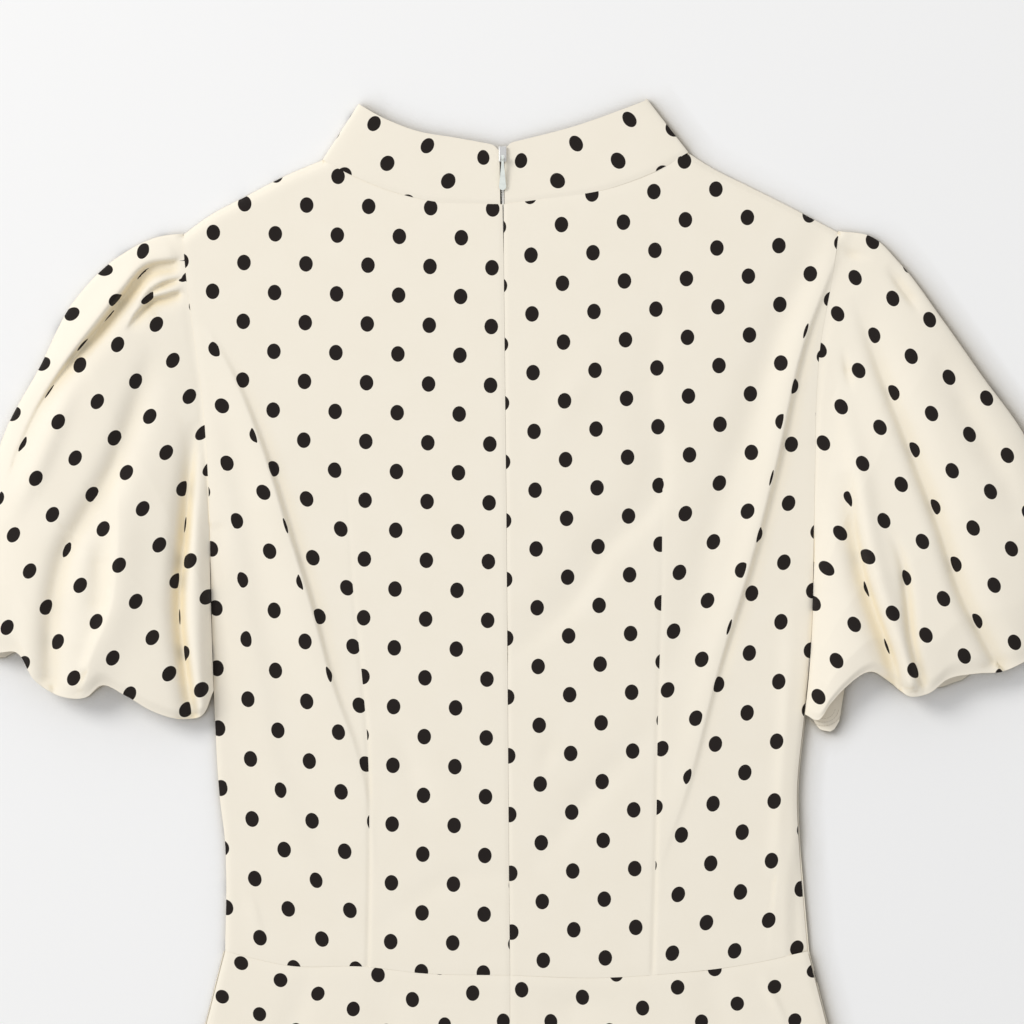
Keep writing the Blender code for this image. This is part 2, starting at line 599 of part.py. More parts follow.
def sleeve_place(side, outer, inner, hem, folds):
    """A flared tube that lies on the surface: u goes once round, v from the hem to the cap."""
    chains = fold_chains(folds)
    tip_y = outer[0][1]
    underarm_y = inner[0][1]
    turn_gap = abs(inner[0][0] - side_x(underarm_y, side))

    def cap(k):
        """The armhole, a seam's gap outside the body, and wider at the underarm where it turns."""
        y = tip_y + (underarm_y - tip_y) * k
        gap = ARMHOLE_GAP + (turn_gap - ARMHOLE_GAP) * k ** CENTRE_POWER
        return np.array((side_x(y, side) + side * gap, y))

    def plan(s, t):
        """s runs from the outer edge to the inner one, t from the cap to the hem."""
        return coons(cap, lambda k: smooth_point(hem, k),
                     lambda k: smooth_point(outer, k), lambda k: smooth_point(inner, k), s, t)

    def top_layer(s, t):
        x, y = plan(s, t)
        edge = rise_at(t, "fold")
        crown = rise_at(t, "height") + fold_lift(folds, chains, x, y) * min(t / SLEEVE_CALM, 1.0)
        crown = max(crown, BACK_MID + (SLEEVE_LEAST - BACK_MID) * min(t / SLEEVE_CALM, 1.0))
        shape = math.sqrt(max(1.0 - abs(2.0 * s - 1.0) ** SLEEVE_SHOULDERS, 0.0))
        return x, y, edge + (crown - edge) * shape

    def under_layer(s, t):
        x, y = plan(s, t)
        for tongue in TONGUES:
            reach = tongue.drop * math.exp(-((x - tongue.x) / tongue.half) ** 4)
            y -= reach * max((t - TONGUE_START) / (1.0 - TONGUE_START), 0.0) ** 2
        edge = rise_at(t, "fold")
        return x, y, FRONT_MID + (edge - FRONT_MID) * abs(2.0 * s - 1.0) ** SLEEVE_EDGE_POWER

    def place(u, v):
        if u <= SLEEVE_TOP_SHARE:
            return top_layer(0.5 - 0.5 * math.cos(math.pi * u / SLEEVE_TOP_SHARE), 1.0 - v)
        turn = math.pi * (u - SLEEVE_TOP_SHARE) / (1.0 - SLEEVE_TOP_SHARE)
        return under_layer(0.5 + 0.5 * math.cos(turn), 1.0 - v)

    return place


def make_sleeve(name, side, outer, inner, hem, folds):
    place = sleeve_place(side, outer, inner, hem, folds)
    return make_cloth(name, SLEEVE_COLUMNS, SLEEVE_ROWS, place, CLOTH, closed=True)


# ---------------------------------------------------------------------- collar
def make_collar():
    base = [(row.base_x, row.base_y, row.mid) for row in COLLAR_BAND]
    top = [(row.top_x, row.top_y, row.mid) for row in COLLAR_BAND]

    def place(u, v):
        k = min(int(u * (len(base) - 1)), len(base) - 2)
        share = u * (len(base) - 1) - k
        low = station_point(base, k, share)
        high = station_point(top, k, share)
        return tuple(low * (1.0 - v) + high * v)

    return make_cloth("collar", 2 * (len(base) - 1), COLLAR_ROWS, place, COLLAR_CLOTH)


def station_point(points, k, share):
    """A smooth curve through the stations, evenly shared between them."""
    rows = np.array(points, dtype=float)
    before = rows[max(k - 1, 0)]
    after = rows[min(k + 2, len(rows) - 1)]
    return hermite(rows[k], rows[k + 1], (rows[k + 1] - before) / 2.0, (after - rows[k]) / 2.0, share)


# ------------------------------------------------------------------------- zip
def make_coil():
    """The closed coil, a flat strip that comes up to the collar's level at its top."""
    def place(u, v):
        y = ZIP_END + (ZIP_TOP - ZIP_END) * v
        mid = table_value(COIL_RUN, "y", "mid", y)
        width = table_value(COIL_RUN, "y", "width", y)
        return centre_back(y) + (u - 0.5) * width, y, mid

    return make_cloth("zip_coil", 1, COIL_ROWS, place, COIL_HEIGHT)


def make_box(name, size, centre, bevel):
    """A block with rounded edges."""
    box = bmesh.new()
    bmesh.ops.create_cube(box, size=1.0)
    for vert in box.verts:
        vert.co = (vert.co * Vector(size) + Vector(centre)) * MM
    bmesh.ops.bevel(box, geom=box.edges, offset=bevel * MM, segments=2, affect="EDGES", profile=0.5)
    mesh = bpy.data.meshes.new(name)
    box.to_mesh(mesh)
    box.free()
    return bpy.data.objects.new(name, mesh)


def make_rod(name, radius, length, centre):
    """A round rod along X."""
    rod = bmesh.new()
    bmesh.ops.create_cone(rod, cap_ends=True, segments=ROD_SIDES, radius1=radius * MM, radius2=radius * MM,
                          depth=length * MM)
    for vert in rod.verts:
        vert.co = Vector((vert.co.z, vert.co.x, vert.co.y)) + Vector(centre) * MM
    mesh = bpy.data.meshes.new(name)
    rod.to_mesh(mesh)
    rod.free()
    return bpy.data.objects.new(name, mesh)


def boolean(item, tool, operation):
    step = item.modifiers.new(operation.lower(), "BOOLEAN")
    step.operation = operation
    step.object = tool
    step.solver = "EXACT"


def hide_tool(tool, tools):
    tool.hide_render = True
    tool.display_type = "WIRE"
    tools.objects.link(tool)


def make_slider(tools):
    """The slider's body with two lugs and the pin that carries the pull."""
    x = centre_back(SLIDER_Y)
    top = SLIDER_BASE + SLIDER_HEIGHT
    body = make_box("zip_slider", (SLIDER_WIDTH, SLIDER_LENGTH, SLIDER_HEIGHT),
                    (x, SLIDER_Y, SLIDER_BASE + SLIDER_HEIGHT / 2), SLIDER_BEVEL)
    lug_height = LUG_ROOT + LUG_RISE + LUG_CROWN
    for side in (-1, 1):
        lug_x = x + side * (LUG_APART + LUG_THICK) / 2
        lug = make_box("lug", (LUG_THICK, LUG_LENGTH, lug_height),
                       (lug_x, PIN_Y, top - LUG_ROOT + lug_height / 2), LUG_BEVEL)
        hide_tool(lug, tools)
        boolean(body, lug, "UNION")
    pin = make_rod("pin", PIN_RADIUS, LUG_APART + LUG_THICK, (x, PIN_Y, top + LUG_RISE))
    hide_tool(pin, tools)
    boolean(body, pin, "UNION")
    return body


def pull_outline():
    """A drop: narrow at the eye and round at the free end, which points toward -Y."""
    radius = PULL_WIDTH / 2
    end_y = -PULL_LENGTH + radius
    neck = ((PULL_NECK / 2, -EYE_RADIUS * PULL_NECK_START), (PULL_NECK / 2, -EYE_RADIUS * PULL_NECK_END))
    points = list(neck)
    for turn in np.linspace(PULL_END_TURN[1], PULL_END_TURN[0], PULL_END_POINTS):
        points.append((radius * math.cos(math.pi * turn), end_y + radius * math.sin(math.pi * turn)))
    points += [(-x, y) for x, y in reversed(neck)]
    return points


def make_pull(tools):
    """The tab: a drop-shaped plate on an eye that turns on the slider's pin."""
    plate = make_flat_piece("plate", pull_outline(), PULL_THICK)
    plate.location.z = 0.0
    tools.objects.link(plate)
    bpy.context.view_layer.update()
    solid = plate.evaluated_get(bpy.context.evaluated_depsgraph_get())
    mesh = bpy.data.meshes.new_from_object(solid)
    bpy.data.objects.remove(plate, do_unlink=True)
    mesh.name = "zip_pull"
    pull = bpy.data.objects.new("zip_pull", mesh)
    eye = make_rod("eye", EYE_RADIUS, EYE_WIDTH, (0.0, 0.0, 0.0))
    hide_tool(eye, tools)
    boolean(pull, eye, "UNION")
    bore = make_rod("bore", EYE_BORE, EYE_WIDTH * 2, (0.0, 0.0, 0.0))
    hide_tool(bore, tools)
    boolean(pull, bore, "DIFFERENCE")
    place = Vector((centre_back(SLIDER_Y), PIN_Y, SLIDER_BASE + SLIDER_HEIGHT + LUG_RISE)) * MM
    for item in (pull, eye, bore):
        item.location = place
        item.rotation_euler.x = PULL_TILT
    return pull


# ------------------------------------------------------------------------ main
def build_dress():
    clear_scene()
    dress = bpy.data.collections.new("a_line_dress")
    tools = bpy.data.collections.new("cutters")
    bpy.context.scene.collection.children.link(dress)
    bpy.context.scene.collection.children.link(tools)

    crepe = make_material("cream_crepe", CREAM, 0.85)
    silver = make_material("zip_silver", SILVER, 0.3, 1.0)
    coil = make_material("zip_coil_grey", GREY_COIL, 0.5)
    mint = make_material("pull_white", MINT_WHITE, 0.35)

    cloth_pieces = (
        make_flat_piece("front_bodice", front_bodice_outline(), CLOTH),
        make_back_half("back_bodice_left", -1, back_bodice_place(-1), BODICE_ROWS),
        make_back_half("back_bodice_right", 1, back_bodice_place(1), BODICE_ROWS),
        make_flat_piece("front_skirt", front_skirt_outline(), CLOTH),
        make_back_half("back_skirt_left", -1, back_skirt_place(-1), SKIRT_ROWS),
        make_back_half("back_skirt_right", 1, back_skirt_place(1), SKIRT_ROWS),
        make_collar(),
        make_sleeve("sleeve_left", -1, SLEEVE_LEFT_OUTER, SLEEVE_LEFT_INNER,
                    SLEEVE_LEFT_HEM, SLEEVE_LEFT_FOLDS),
        make_sleeve("sleeve_right", 1, SLEEVE_RIGHT_OUTER, SLEEVE_RIGHT_INNER,
                    SLEEVE_RIGHT_HEM, SLEEVE_RIGHT_FOLDS),
    )
    for piece in cloth_pieces:
        finish_object(piece, crepe, dress)
    finish_object(make_coil(), coil, dress)
    finish_object(make_slider(tools), silver, dress)
    finish_object(make_pull(tools), mint, dress)


build_dress()
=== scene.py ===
import math

import bpy
import numpy as np
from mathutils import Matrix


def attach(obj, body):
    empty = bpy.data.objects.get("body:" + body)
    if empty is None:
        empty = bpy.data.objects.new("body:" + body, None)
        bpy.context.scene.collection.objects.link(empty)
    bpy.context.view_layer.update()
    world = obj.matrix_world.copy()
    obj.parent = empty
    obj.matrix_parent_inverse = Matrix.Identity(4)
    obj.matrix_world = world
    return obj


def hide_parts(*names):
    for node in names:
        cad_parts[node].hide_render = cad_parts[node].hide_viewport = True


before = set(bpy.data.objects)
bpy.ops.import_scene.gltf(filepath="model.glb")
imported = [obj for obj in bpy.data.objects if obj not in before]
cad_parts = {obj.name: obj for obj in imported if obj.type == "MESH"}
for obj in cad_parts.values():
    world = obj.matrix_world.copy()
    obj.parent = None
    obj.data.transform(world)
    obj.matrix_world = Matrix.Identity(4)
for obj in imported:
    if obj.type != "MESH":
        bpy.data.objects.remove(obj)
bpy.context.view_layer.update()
mm = 0.001

cloth = {
    "wall": 0.55,             # thickness of the crepe
    "under": 0.3,             # the sleeve, skirt and collar run under the body by this
    "underDrop": 0.12,        # and lie this much lower there
    "hold": 0.12,             # points this far from each edge keep its shading at the edge
    "frontMid": 0.45,         # middle of the front, which lies on the floor
    "turnTo": 1.9,            # and where it turns up to the side seam
    "turnUp": 7,              # width over which it turns up
    "turnEnds": (236, 212),   # the turn sets in between these heights, going down
    "backMid": 5,             # middle of the back, away from seams and folds
    "edgeMid": 1.15,          # and where it meets the front at the shoulder
    "shoulderRoll": 6,        # width over which it rounds down to there
    "sideMid": 3.9,           # and at a side seam, which stands off the floor
    "sideRoll": 4,            # width over which it rounds down to there
    "sideLeast": 0.8,         # by at least this much
    "sideEnds": (240, 214),   # the rounding sets in between these heights, going down
    "seamDip": 0.22,          # a pressed seam sinks by this much
    "seamDipWidth": 2.4,      # over about this width
    "edgeCalm": 10,           # folds die out over this width beside a side seam
    "calmFrom": 250,          # but not above this height, where the sleeve hangs on
    "centreDip": 0.35,        # the two backs turn in over the zip
    "centreDipWidth": 1.4,
}


# ---- curves, distances and folds
def between(start, end, share):
    return start + (end - start) * share


def pair(x, y):
    return np.stack(np.broadcast_arrays(x, y), axis=-1)


def split(place):
    return place[..., 0], place[..., 1]


def reachOf(line):
    # distances along a line of points, from its start
    return np.concatenate(([0.0], np.cumsum(np.linalg.norm(np.diff(line, axis=0), axis=1))))


def runAcross(steps):
    return np.concatenate((np.zeros((len(steps), 1)), np.cumsum(steps, axis=1)), axis=1)


def edgeAcross(first, last, yOf):
    # an edge that runs from one x to another
    def edge(s):
        x = between(first, last, s)
        return pair(x, yOf(x))
    return edge


def edgeUp(first, last, xOf):
    # an edge that runs from one y to another
    def edge(t):
        y = between(first, last, t)
        return pair(xOf(y), y)
    return edge


def hermite(start, end, slopeStart, slopeEnd, u):
    ease = u * u * (3 - 2 * u)
    return start * (1 - ease) + end * ease + slopeStart * u * (1 - u) ** 2 + slopeEnd * u * u * (u - 1)


def smoothPath(points, shares):
    # places at shares of the way along a smooth curve through the points
    rows = np.array(points, float)
    reach = reachOf(rows)
    slopes = np.gradient(rows, reach, axis=0)
    at = np.clip(shares, 0, 1) * reach[-1]
    k = np.clip(np.searchsorted(reach, at, side="right") - 1, 0, len(rows) - 2)
    span = np.diff(reach)[k]
    u = ((at - reach[k]) / span)[..., None]
    span = span[..., None]
    return hermite(rows[k], rows[k + 1], slopes[k] * span, slopes[k + 1] * span, u)


def chainOf(points, count=33):
    return smoothPath(points, np.linspace(0, 1, count))


def measureTo(chain, x, y):
    # distance to a chain, the side it lies on (+1 left, going along) and how far along
    best = np.full(np.shape(x), np.inf)
    side = np.zeros(np.shape(x))
    share = np.zeros(np.shape(x))
    for k, ((ax, ay), (bx, by)) in enumerate(zip(chain[:-1], chain[1:])):
        dx, dy = bx - ax, by - ay
        along = np.clip(((x - ax) * dx + (y - ay) * dy) / (dx * dx + dy * dy), 0, 1)
        ox, oy = x - ax - dx * along, y - ay - dy * along
        apart = ox * ox + oy * oy
        nearer = apart < best
        best = np.where(nearer, apart, best)
        side = np.where(nearer, np.where(dx * oy > dy * ox, 1.0, -1.0), side)
        share = np.where(nearer, (k + along) / (len(chain) - 1), share)
    return np.sqrt(best), side, share


def signedTo(chain, x, y):
    apart, side, share = measureTo(chain, x, y)
    return apart * side, share


def strengthAt(strengths, share):
    return np.interp(share, np.linspace(0, 1, len(strengths)), strengths)


def foldLift(folds, x, y):
    # a fold is (lift, width on the left, width on the right, cloth it hides, strengths along, path)
    total = np.zeros(np.shape(x))
    for lift, left, right, _, strengths, path in folds:
        apart, side, share = measureTo(chainOf(path), x, y)
        width = np.where(side > 0, left, right)
        total += lift * strengthAt(strengths, share) * np.exp(-(apart / width) ** 2)
    return total


def smoothStep(low, high, value):
    u = np.clip((value - low) / (high - low), 0, 1)
    return u * u * (3 - 2 * u)


def dip(chain, x, y, depth=cloth["seamDip"], width=cloth["seamDipWidth"]):
    return depth * np.exp(-(measureTo(chain, x, y)[0] / width) ** 2)


def dipOverZip(fromCentre):
    return cloth["centreDip"] * np.exp(-(fromCentre / cloth["centreDipWidth"]) ** 2)


def roundDown(mid, low, gap, reach, share=1):
    # brings a height down to an edge's as a quarter of an ellipse
    rise = np.sqrt(np.clip(1 - (1 - np.clip(gap / reach, 0, 1)) ** 2, 0, 1))
    return between(mid, between(low, mid, rise), share)


def curveOf(side):
    return side if callable(side) else lambda share: smoothPath(side, share)


def coons(sides):
    # fills in four sides: bottom, top, left and right, each a path or a function of its share
    bottom, top, left, right = map(curveOf, sides)

    def plan(s, t):
        across, up = s[..., None], t[..., None]
        rows = (1 - up) * bottom(s) + up * top(s)
        columns = (1 - across) * left(t) + across * right(t)
        corners = (1 - up) * ((1 - across) * bottom(0.0) + across * bottom(1.0))
        corners = corners + up * ((1 - across) * top(0.0) + across * top(1.0))
        return rows + columns - corners
    return plan


# ---- how the print lies: straight grain, less the strips that darts and folds take up
halfAcross, halfDown = 17.2, 16.3    # half the spacing of the dots across and down the cloth


def openOut(folds, x, y, flank=1.6):
    # moves places to where they would be with the folds opened, so a fold's edge cuts through the dots:
    # a positive hidden strip moves what is on the left of the path, a negative one what is on the right
    movedX, movedY = np.array(x, float), np.array(y, float)
    for _, _, _, hidden, strengths, path in folds:
        if hidden:
            away = math.copysign(1, hidden)
            signed, share = signedTo(chainOf(path), x, y)
            push = abs(hidden) * np.clip(strengthAt(strengths, share), 0, 1)
            push *= smoothStep(-flank, flank, signed * away)
            run = np.array(path[-1], float) - np.array(path[0], float)
            run /= np.linalg.norm(run)
            movedX += push * away * -run[1]
            movedY += push * away * run[0]
    return movedX, movedY


def layGrain(grain, folds, x, y, takenUp=0.0):
    # grain: a dot's place, how far the threads swing to the right going down, how far the rows rise
    # to the right, and how far gathers draw the cloth together across and down
    placeX, placeY = openOut(folds, x, y)
    swing, rise = math.radians(grain["swing"]), math.radians(grain["rise"])
    dx, dy = placeX + takenUp - grain["dot"][0], placeY - grain["dot"][1]
    square = math.cos(swing - rise)
    across = (dx * math.cos(swing) + dy * math.sin(swing)) / square
    down = (dx * math.sin(rise) - dy * math.cos(rise)) / square
    easeAcross, easeDown = grain.get("ease", (1, 1))
    return pair(across * mm / easeAcross, down * mm / easeDown)


# ---- cloth as grids
def pathsOf(folds, tight=math.inf):
    # the paths of the folds that are narrower than tight
    return [chainOf(path) for _, left, right, _, _, path in folds if min(left, right) < tight]


def crowd(plan, chains, rows, columns, extra=2.6, width=4.5):
    # shares across and up the plan, with columns closer along the chains, so that sharp folds run
    # along the mesh
    fine = np.linspace(0, 1, 220)
    s, t = np.meshgrid(fine, rows)
    place = plan(s, t)
    density = np.ones(s.shape)
    for chain in chains:
        density += extra * np.exp(-(measureTo(chain, *split(place))[0] / width) ** 2)
    steps = np.linalg.norm(np.diff(place, axis=1), axis=2) * (density[:, 1:] + density[:, :-1]) / 2
    shares = [np.interp(np.linspace(0, line[-1], columns + 1), line, fine) for line in runAcross(steps)]
    return np.array(shares), np.repeat(rows[:, None], columns + 1, axis=1)


def holdEnds(grid, axis):
    # adds a line of points close to both ends of a grid
    grid = np.moveaxis(grid, axis, 0)
    close = []
    for end, inner in ((grid[0], grid[1]), (grid[-1], grid[-2])):
        gap = np.linalg.norm((inner - end)[:, :3], axis=1, keepdims=True)
        close.append(between(end, inner, np.minimum(cloth["hold"] / np.maximum(gap, 0.001), 0.5))[None])
    return np.moveaxis(np.concatenate((grid[:1], close[0], grid[1:-1], close[1], grid[-1:])), 0, axis)


def newObject(name, data):
    made = bpy.data.objects.new(name, data)
    bpy.context.scene.collection.objects.link(made)
    return made


def fourCorners(grid):
    return np.stack((grid[:-1, :-1], grid[:-1, 1:], grid[1:, 1:], grid[1:, :-1]), axis=2)


def sheetMesh(name, patches, closed=False, mirrored=False):
    # patches share their border columns: each is (points in mm, grain), rows by columns from the left,
    # or from the right where they are mirrored
    if mirrored:
        patches = [(points[:, ::-1], grain[:, ::-1]) for points, grain in reversed(patches)]
    held = [holdEnds(holdEnds(np.dstack(patch), 0), 1) for patch in patches]
    patches = [(grid[..., :3], grid[..., 3:]) for grid in held]
    points = np.concatenate([patch[0][:, min(k, 1):] for k, patch in enumerate(patches)], axis=1)
    points = points[:, :-1] if closed else points
    index = np.arange(points[..., 0].size).reshape(points.shape[:2])
    if closed:
        index = np.concatenate((index, index[:, :1]), axis=1)
    mesh = bpy.data.meshes.new(name)
    places = (points.reshape(-1, 3) * mm).tolist()
    mesh.from_pydata(places, [], fourCorners(index).reshape(-1, 4).tolist())
    corners = np.concatenate([fourCorners(grain) for _, grain in patches], axis=1)
    mesh.uv_layers.new(name="grain").data.foreach_set("uv", corners.astype(np.float32).ravel())
    mesh.shade_smooth()
    return newObject(name, mesh)


def finishCloth(piece, node, wall=cloth["wall"], wrongSide=True):
    piece.data.materials.append(crepe)
    piece.data.materials.append(crepeWrongSide if wrongSide else crepe)
    solid = piece.modifiers.new("wall", "SOLIDIFY")
    solid.thickness = wall * mm
    solid.offset = 0
    solid.material_offset = 1
    solid.use_even_offset = False
    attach(piece, "dress")
    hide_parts(node)


# ---- materials
def setInputs(tree, node, inputs):
    # an input is linked to a socket or given a value
    for key, value in dict(inputs).items():
        if isinstance(value, bpy.types.NodeSocket):
            tree.links.new(value, node.inputs[key])
        else:
            node.inputs[key].default_value = value
    return node


def addNode(tree, kind, inputs=(), **settings):
    node = tree.nodes.new(kind)
    for key, value in settings.items():
        setattr(node, key, value)
    return setInputs(tree, node, inputs)


def mathNode(tree, operation, *values):
    return addNode(tree, "ShaderNodeMath", enumerate(values), operation=operation).outputs[0]


def vectorNode(tree, operation, *values):
    made = addNode(tree, "ShaderNodeVectorMath", enumerate(values), operation=operation)
    return made.outputs["Value" if operation in ("LENGTH", "DOT_PRODUCT") else "Vector"]


def mixColour(tree, factor, first, second):
    return addNode(tree, "ShaderNodeMix", {0: factor, 6: first, 7: second}, data_type="RGBA").outputs[2]


def noise(tree, place, scale, detail, roughness=0.5):
    return addNode(tree, "ShaderNodeTexNoise", {
        "Vector": place, "Scale": scale, "Detail": detail, "Roughness": roughness}).outputs["Fac"]


def bump(tree, height, strength, depth):
    return addNode(tree, "ShaderNodeBump", {
        "Height": height, "Strength": strength, "Distance": depth * mm}).outputs["Normal"]


def shutIn(tree, look, ownOnly, facing=None):
    # from 0 to 1, how far what stands close by shuts a place in: the mask for painted shade
    inputs = {"Distance": look["reach"] * mm}
    if facing:
        inputs["Normal"] = facing
    free = addNode(tree, "ShaderNodeAmbientOcclusion", inputs, samples=2, only_local=ownOnly)
    share = mathNode(tree, "SUBTRACT", look["from"], free.outputs["AO"])
    share = mathNode(tree, "MULTIPLY", share, look["strength"])
    return mathNode(tree, "MINIMUM", mathNode(tree, "MAXIMUM", share, 0.0), 1)


def newGroup(name, outputs):
    group = bpy.data.node_groups.new(name, "ShaderNodeTree")
    group.interface.new_socket("Place", in_out="INPUT", socket_type="NodeSocketVector")
    for label in outputs:
        group.interface.new_socket(label, in_out="OUTPUT", socket_type="NodeSocketFloat")
    return group, group.nodes.new("NodeGroupInput").outputs["Place"], group.nodes.new("NodeGroupOutput")


def newMaterial(name):
    material = bpy.data.materials.new(name)
    material.use_nodes = True
    return material, material.node_tree, material.node_tree.nodes["Principled BSDF"]


# the dots are in millimetres across and down, with edge and ragged as shares of the radius
dots = {"across": 7.6, "down": 8.7, "edge": 0.022, "ragged": 0.03, "raggedScale": 900}
weave = {"threads": 2400, "slubs": 700, "slubStretch": 0.12, "mottles": 45}


def makeDotGroup():
    # two square lattices, the second half a step off the first, make a quincunx of oval dots
    group, place, out = newGroup("ovalDots", ["Mask"])
    step = vectorNode(group, "DIVIDE", place, (2 * halfAcross * mm, 2 * halfDown * mm, 1))
    cellInRadii = (4 * halfAcross / dots["across"], 4 * halfDown / dots["down"], 1)
    nearest = []
    for shift in (0.5, 0.0):
        moved = vectorNode(group, "ADD", step, (shift, shift, 0))
        inCell = vectorNode(group, "SUBTRACT", vectorNode(group, "FRACTION", moved), (0.5, 0.5, 0))
        nearest.append(vectorNode(group, "LENGTH", vectorNode(group, "MULTIPLY", inCell, cellInRadii)))
    wobble = mathNode(group, "SUBTRACT", noise(group, place, dots["raggedScale"], 2), 0.5)
    apart = mathNode(group, "MULTIPLY_ADD", wobble, dots["ragged"], mathNode(group, "MINIMUM", *nearest))
    fade = addNode(group, "ShaderNodeMapRange", {
        "Value": apart, "From Min": 1 - dots["edge"], "From Max": 1 + dots["edge"],
        "To Min": 1, "To Max": 0}, interpolation_type="SMOOTHSTEP")
    setInputs(group, out, {"Mask": fade.outputs["Result"]})
    return group


def makeWeaveGroup():
    # crepe's pebbled weave: fine threads broken up by noise
    group, place, out = newGroup("crepeWeave", ["Height", "Shade"])
    pebble = noise(group, place, weave["threads"], 3, 0.7)
    stretched = vectorNode(group, "MULTIPLY", place, (1, weave["slubStretch"], 1))
    slub = noise(group, stretched, weave["slubs"], 2)
    mottled = noise(group, place, weave["mottles"], 4)
    setInputs(group, out, {
        "Height": mathNode(group, "MULTIPLY_ADD", slub, 0.5, pebble),
        "Shade": mathNode(group, "MULTIPLY_ADD", mottled, 0.6,
                          mathNode(group, "MULTIPLY", pebble, 0.4))})
    return group


crepeLook = {
    "cream": (0.940, 0.880, 0.765, 1), "creamDeep": (0.895, 0.828, 0.700, 1),
    "dot": (0.010, 0.007, 0.006, 1), "dotWorn": (0.020, 0.015, 0.013, 1),
    "roughness": 0.82, "bump": 0.12, "bumpDepth": 0.4,
    # painted shade: deep between folds the cloth lights itself and looks golden, so a golden shade colour
    # is painted there
    "paintedGrooveShade": (0.830, 0.700, 0.440, 1), "reach": 9, "from": 1, "strength": 1.5,
}


def makeCrepe(name, dotted):
    material, tree, shader = newMaterial(name)
    grain = addNode(tree, "ShaderNodeUVMap", uv_map="grain").outputs["UV"]
    woven = addNode(tree, "ShaderNodeGroup", {"Place": grain}, node_tree=weaveGroup).outputs
    colour = mixColour(tree, woven["Shade"], crepeLook["cream"], crepeLook["creamDeep"])
    # painted shade in the folds, shut in by its own piece only, so that a piece looks the same by itself
    colour = mixColour(tree, shutIn(tree, crepeLook, True), colour, crepeLook["paintedGrooveShade"])
    if dotted:
        mask = addNode(tree, "ShaderNodeGroup", {"Place": grain}, node_tree=dotGroup).outputs["Mask"]
        ink = mixColour(tree, woven["Shade"], crepeLook["dot"], crepeLook["dotWorn"])
        colour = mixColour(tree, mask, colour, ink)
    setInputs(tree, shader, {
        "Base Color": colour, "Roughness": crepeLook["roughness"], "Specular IOR Level": 0.2,
        "Sheen Weight": 0.03, "Sheen Roughness": 0.5,
        "Normal": bump(tree, woven["Height"], crepeLook["bump"], crepeLook["bumpDepth"])})
    return material


def plainMaterial(name, colour, roughness, metallic, grainScale, grainDepth):
    material, tree, shader = newMaterial(name)
    speck = noise(tree, addNode(tree, "ShaderNodeTexCoord").outputs["Object"], grainScale, 4)
    dark = tuple(value * 0.72 for value in colour[:3]) + (1.0,)
    rough = addNode(tree, "ShaderNodeMapRange", {
        "Value": speck, "To Min": roughness - 0.08, "To Max": roughness + 0.12}).outputs["Result"]
    setInputs(tree, shader, {"Base Color": mixColour(tree, speck, colour, dark), "Metallic": metallic,
                             "Roughness": rough, "Normal": bump(tree, speck, 0.2, grainDepth)})
    return material


dotGroup = makeDotGroup()
weaveGroup = makeWeaveGroup()
crepe = makeCrepe("dottedCrepe", True)
crepeWrongSide = makeCrepe("crepeWrongSide", False)
thread = plainMaterial("creamThread", (0.80, 0.73, 0.60, 1), 0.7, 0.0, 2500, 0.1)
print("materials made")


# ---- what repeats along a path, such as stitches and zip teeth
def makeRepeatTree():
    tree = bpy.data.node_groups.new("repeatAlong", "GeometryNodeTree")
    kinds = {"Geometry": "Geometry", "Pitch": "Float", "Size": "Vector", "Material": "Material"}
    for label, kind in kinds.items():
        tree.interface.new_socket(label, in_out="INPUT", socket_type="NodeSocket" + kind)
    tree.interface.new_socket("Geometry", in_out="OUTPUT", socket_type="NodeSocketGeometry")
    given = tree.nodes.new("NodeGroupInput").outputs
    curve = addNode(tree, "GeometryNodeMeshToCurve", {"Mesh": given["Geometry"]}).outputs[0]
    spaced = addNode(tree, "GeometryNodeResampleCurve", {"Curve": curve, "Length": given["Pitch"]},
                     mode="LENGTH").outputs[0]
    tangent = addNode(tree, "GeometryNodeInputTangent").outputs[0]
    turn = addNode(tree, "FunctionNodeAlignRotationToVector", {"Vector": tangent}, axis="X").outputs[0]
    bead = addNode(tree, "GeometryNodeMeshUVSphere", {
        "Segments": 8, "Rings": 5, "Radius": 0.5}).outputs[0]
    placed = addNode(tree, "GeometryNodeInstanceOnPoints", {
        "Points": spaced, "Instance": bead, "Rotation": turn, "Scale": given["Size"]}).outputs[0]
    real = addNode(tree, "GeometryNodeRealizeInstances", {"Geometry": placed}).outputs[0]
    smooth = addNode(tree, "GeometryNodeSetShadeSmooth", {"Geometry": real}).outputs[0]
    painted = addNode(tree, "GeometryNodeSetMaterial", {
        "Geometry": smooth, "Material": given["Material"]}).outputs[0]
    addNode(tree, "NodeGroupOutput", {"Geometry": painted})
    return tree


repeatTree = makeRepeatTree()


def repeatAlong(name, lines, pitch, size, material):
    # lines are lists of (x, y, z) in mm; pitch and size are in mm too
    points, edges = [], []
    for line in lines:
        edges += [(len(points) + k, len(points) + k + 1) for k in range(len(line) - 1)]
        points += (np.array(line) * mm).tolist()
    path = bpy.data.meshes.new(name + "Path")
    path.from_pydata(points, edges, [])
    guide = newObject(name + "Path", path)
    step = guide.modifiers.new("repeat", "NODES")
    step.node_group = repeatTree
    sockets = {item.name: item.identifier for item in repeatTree.interface.items_tree
               if item.in_out == "INPUT"}
    step[sockets["Pitch"]] = pitch * mm
    step[sockets["Size"]] = tuple(value * mm for value in size)
    step[sockets["Material"]] = material
    bpy.context.view_layer.update()
    made = bpy.data.meshes.new_from_object(guide.evaluated_get(bpy.context.evaluated_depsgraph_get()))
    bpy.data.objects.remove(guide, do_unlink=True)
    made.name = name
    piece = newObject(name, made)
    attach(piece, "dress")


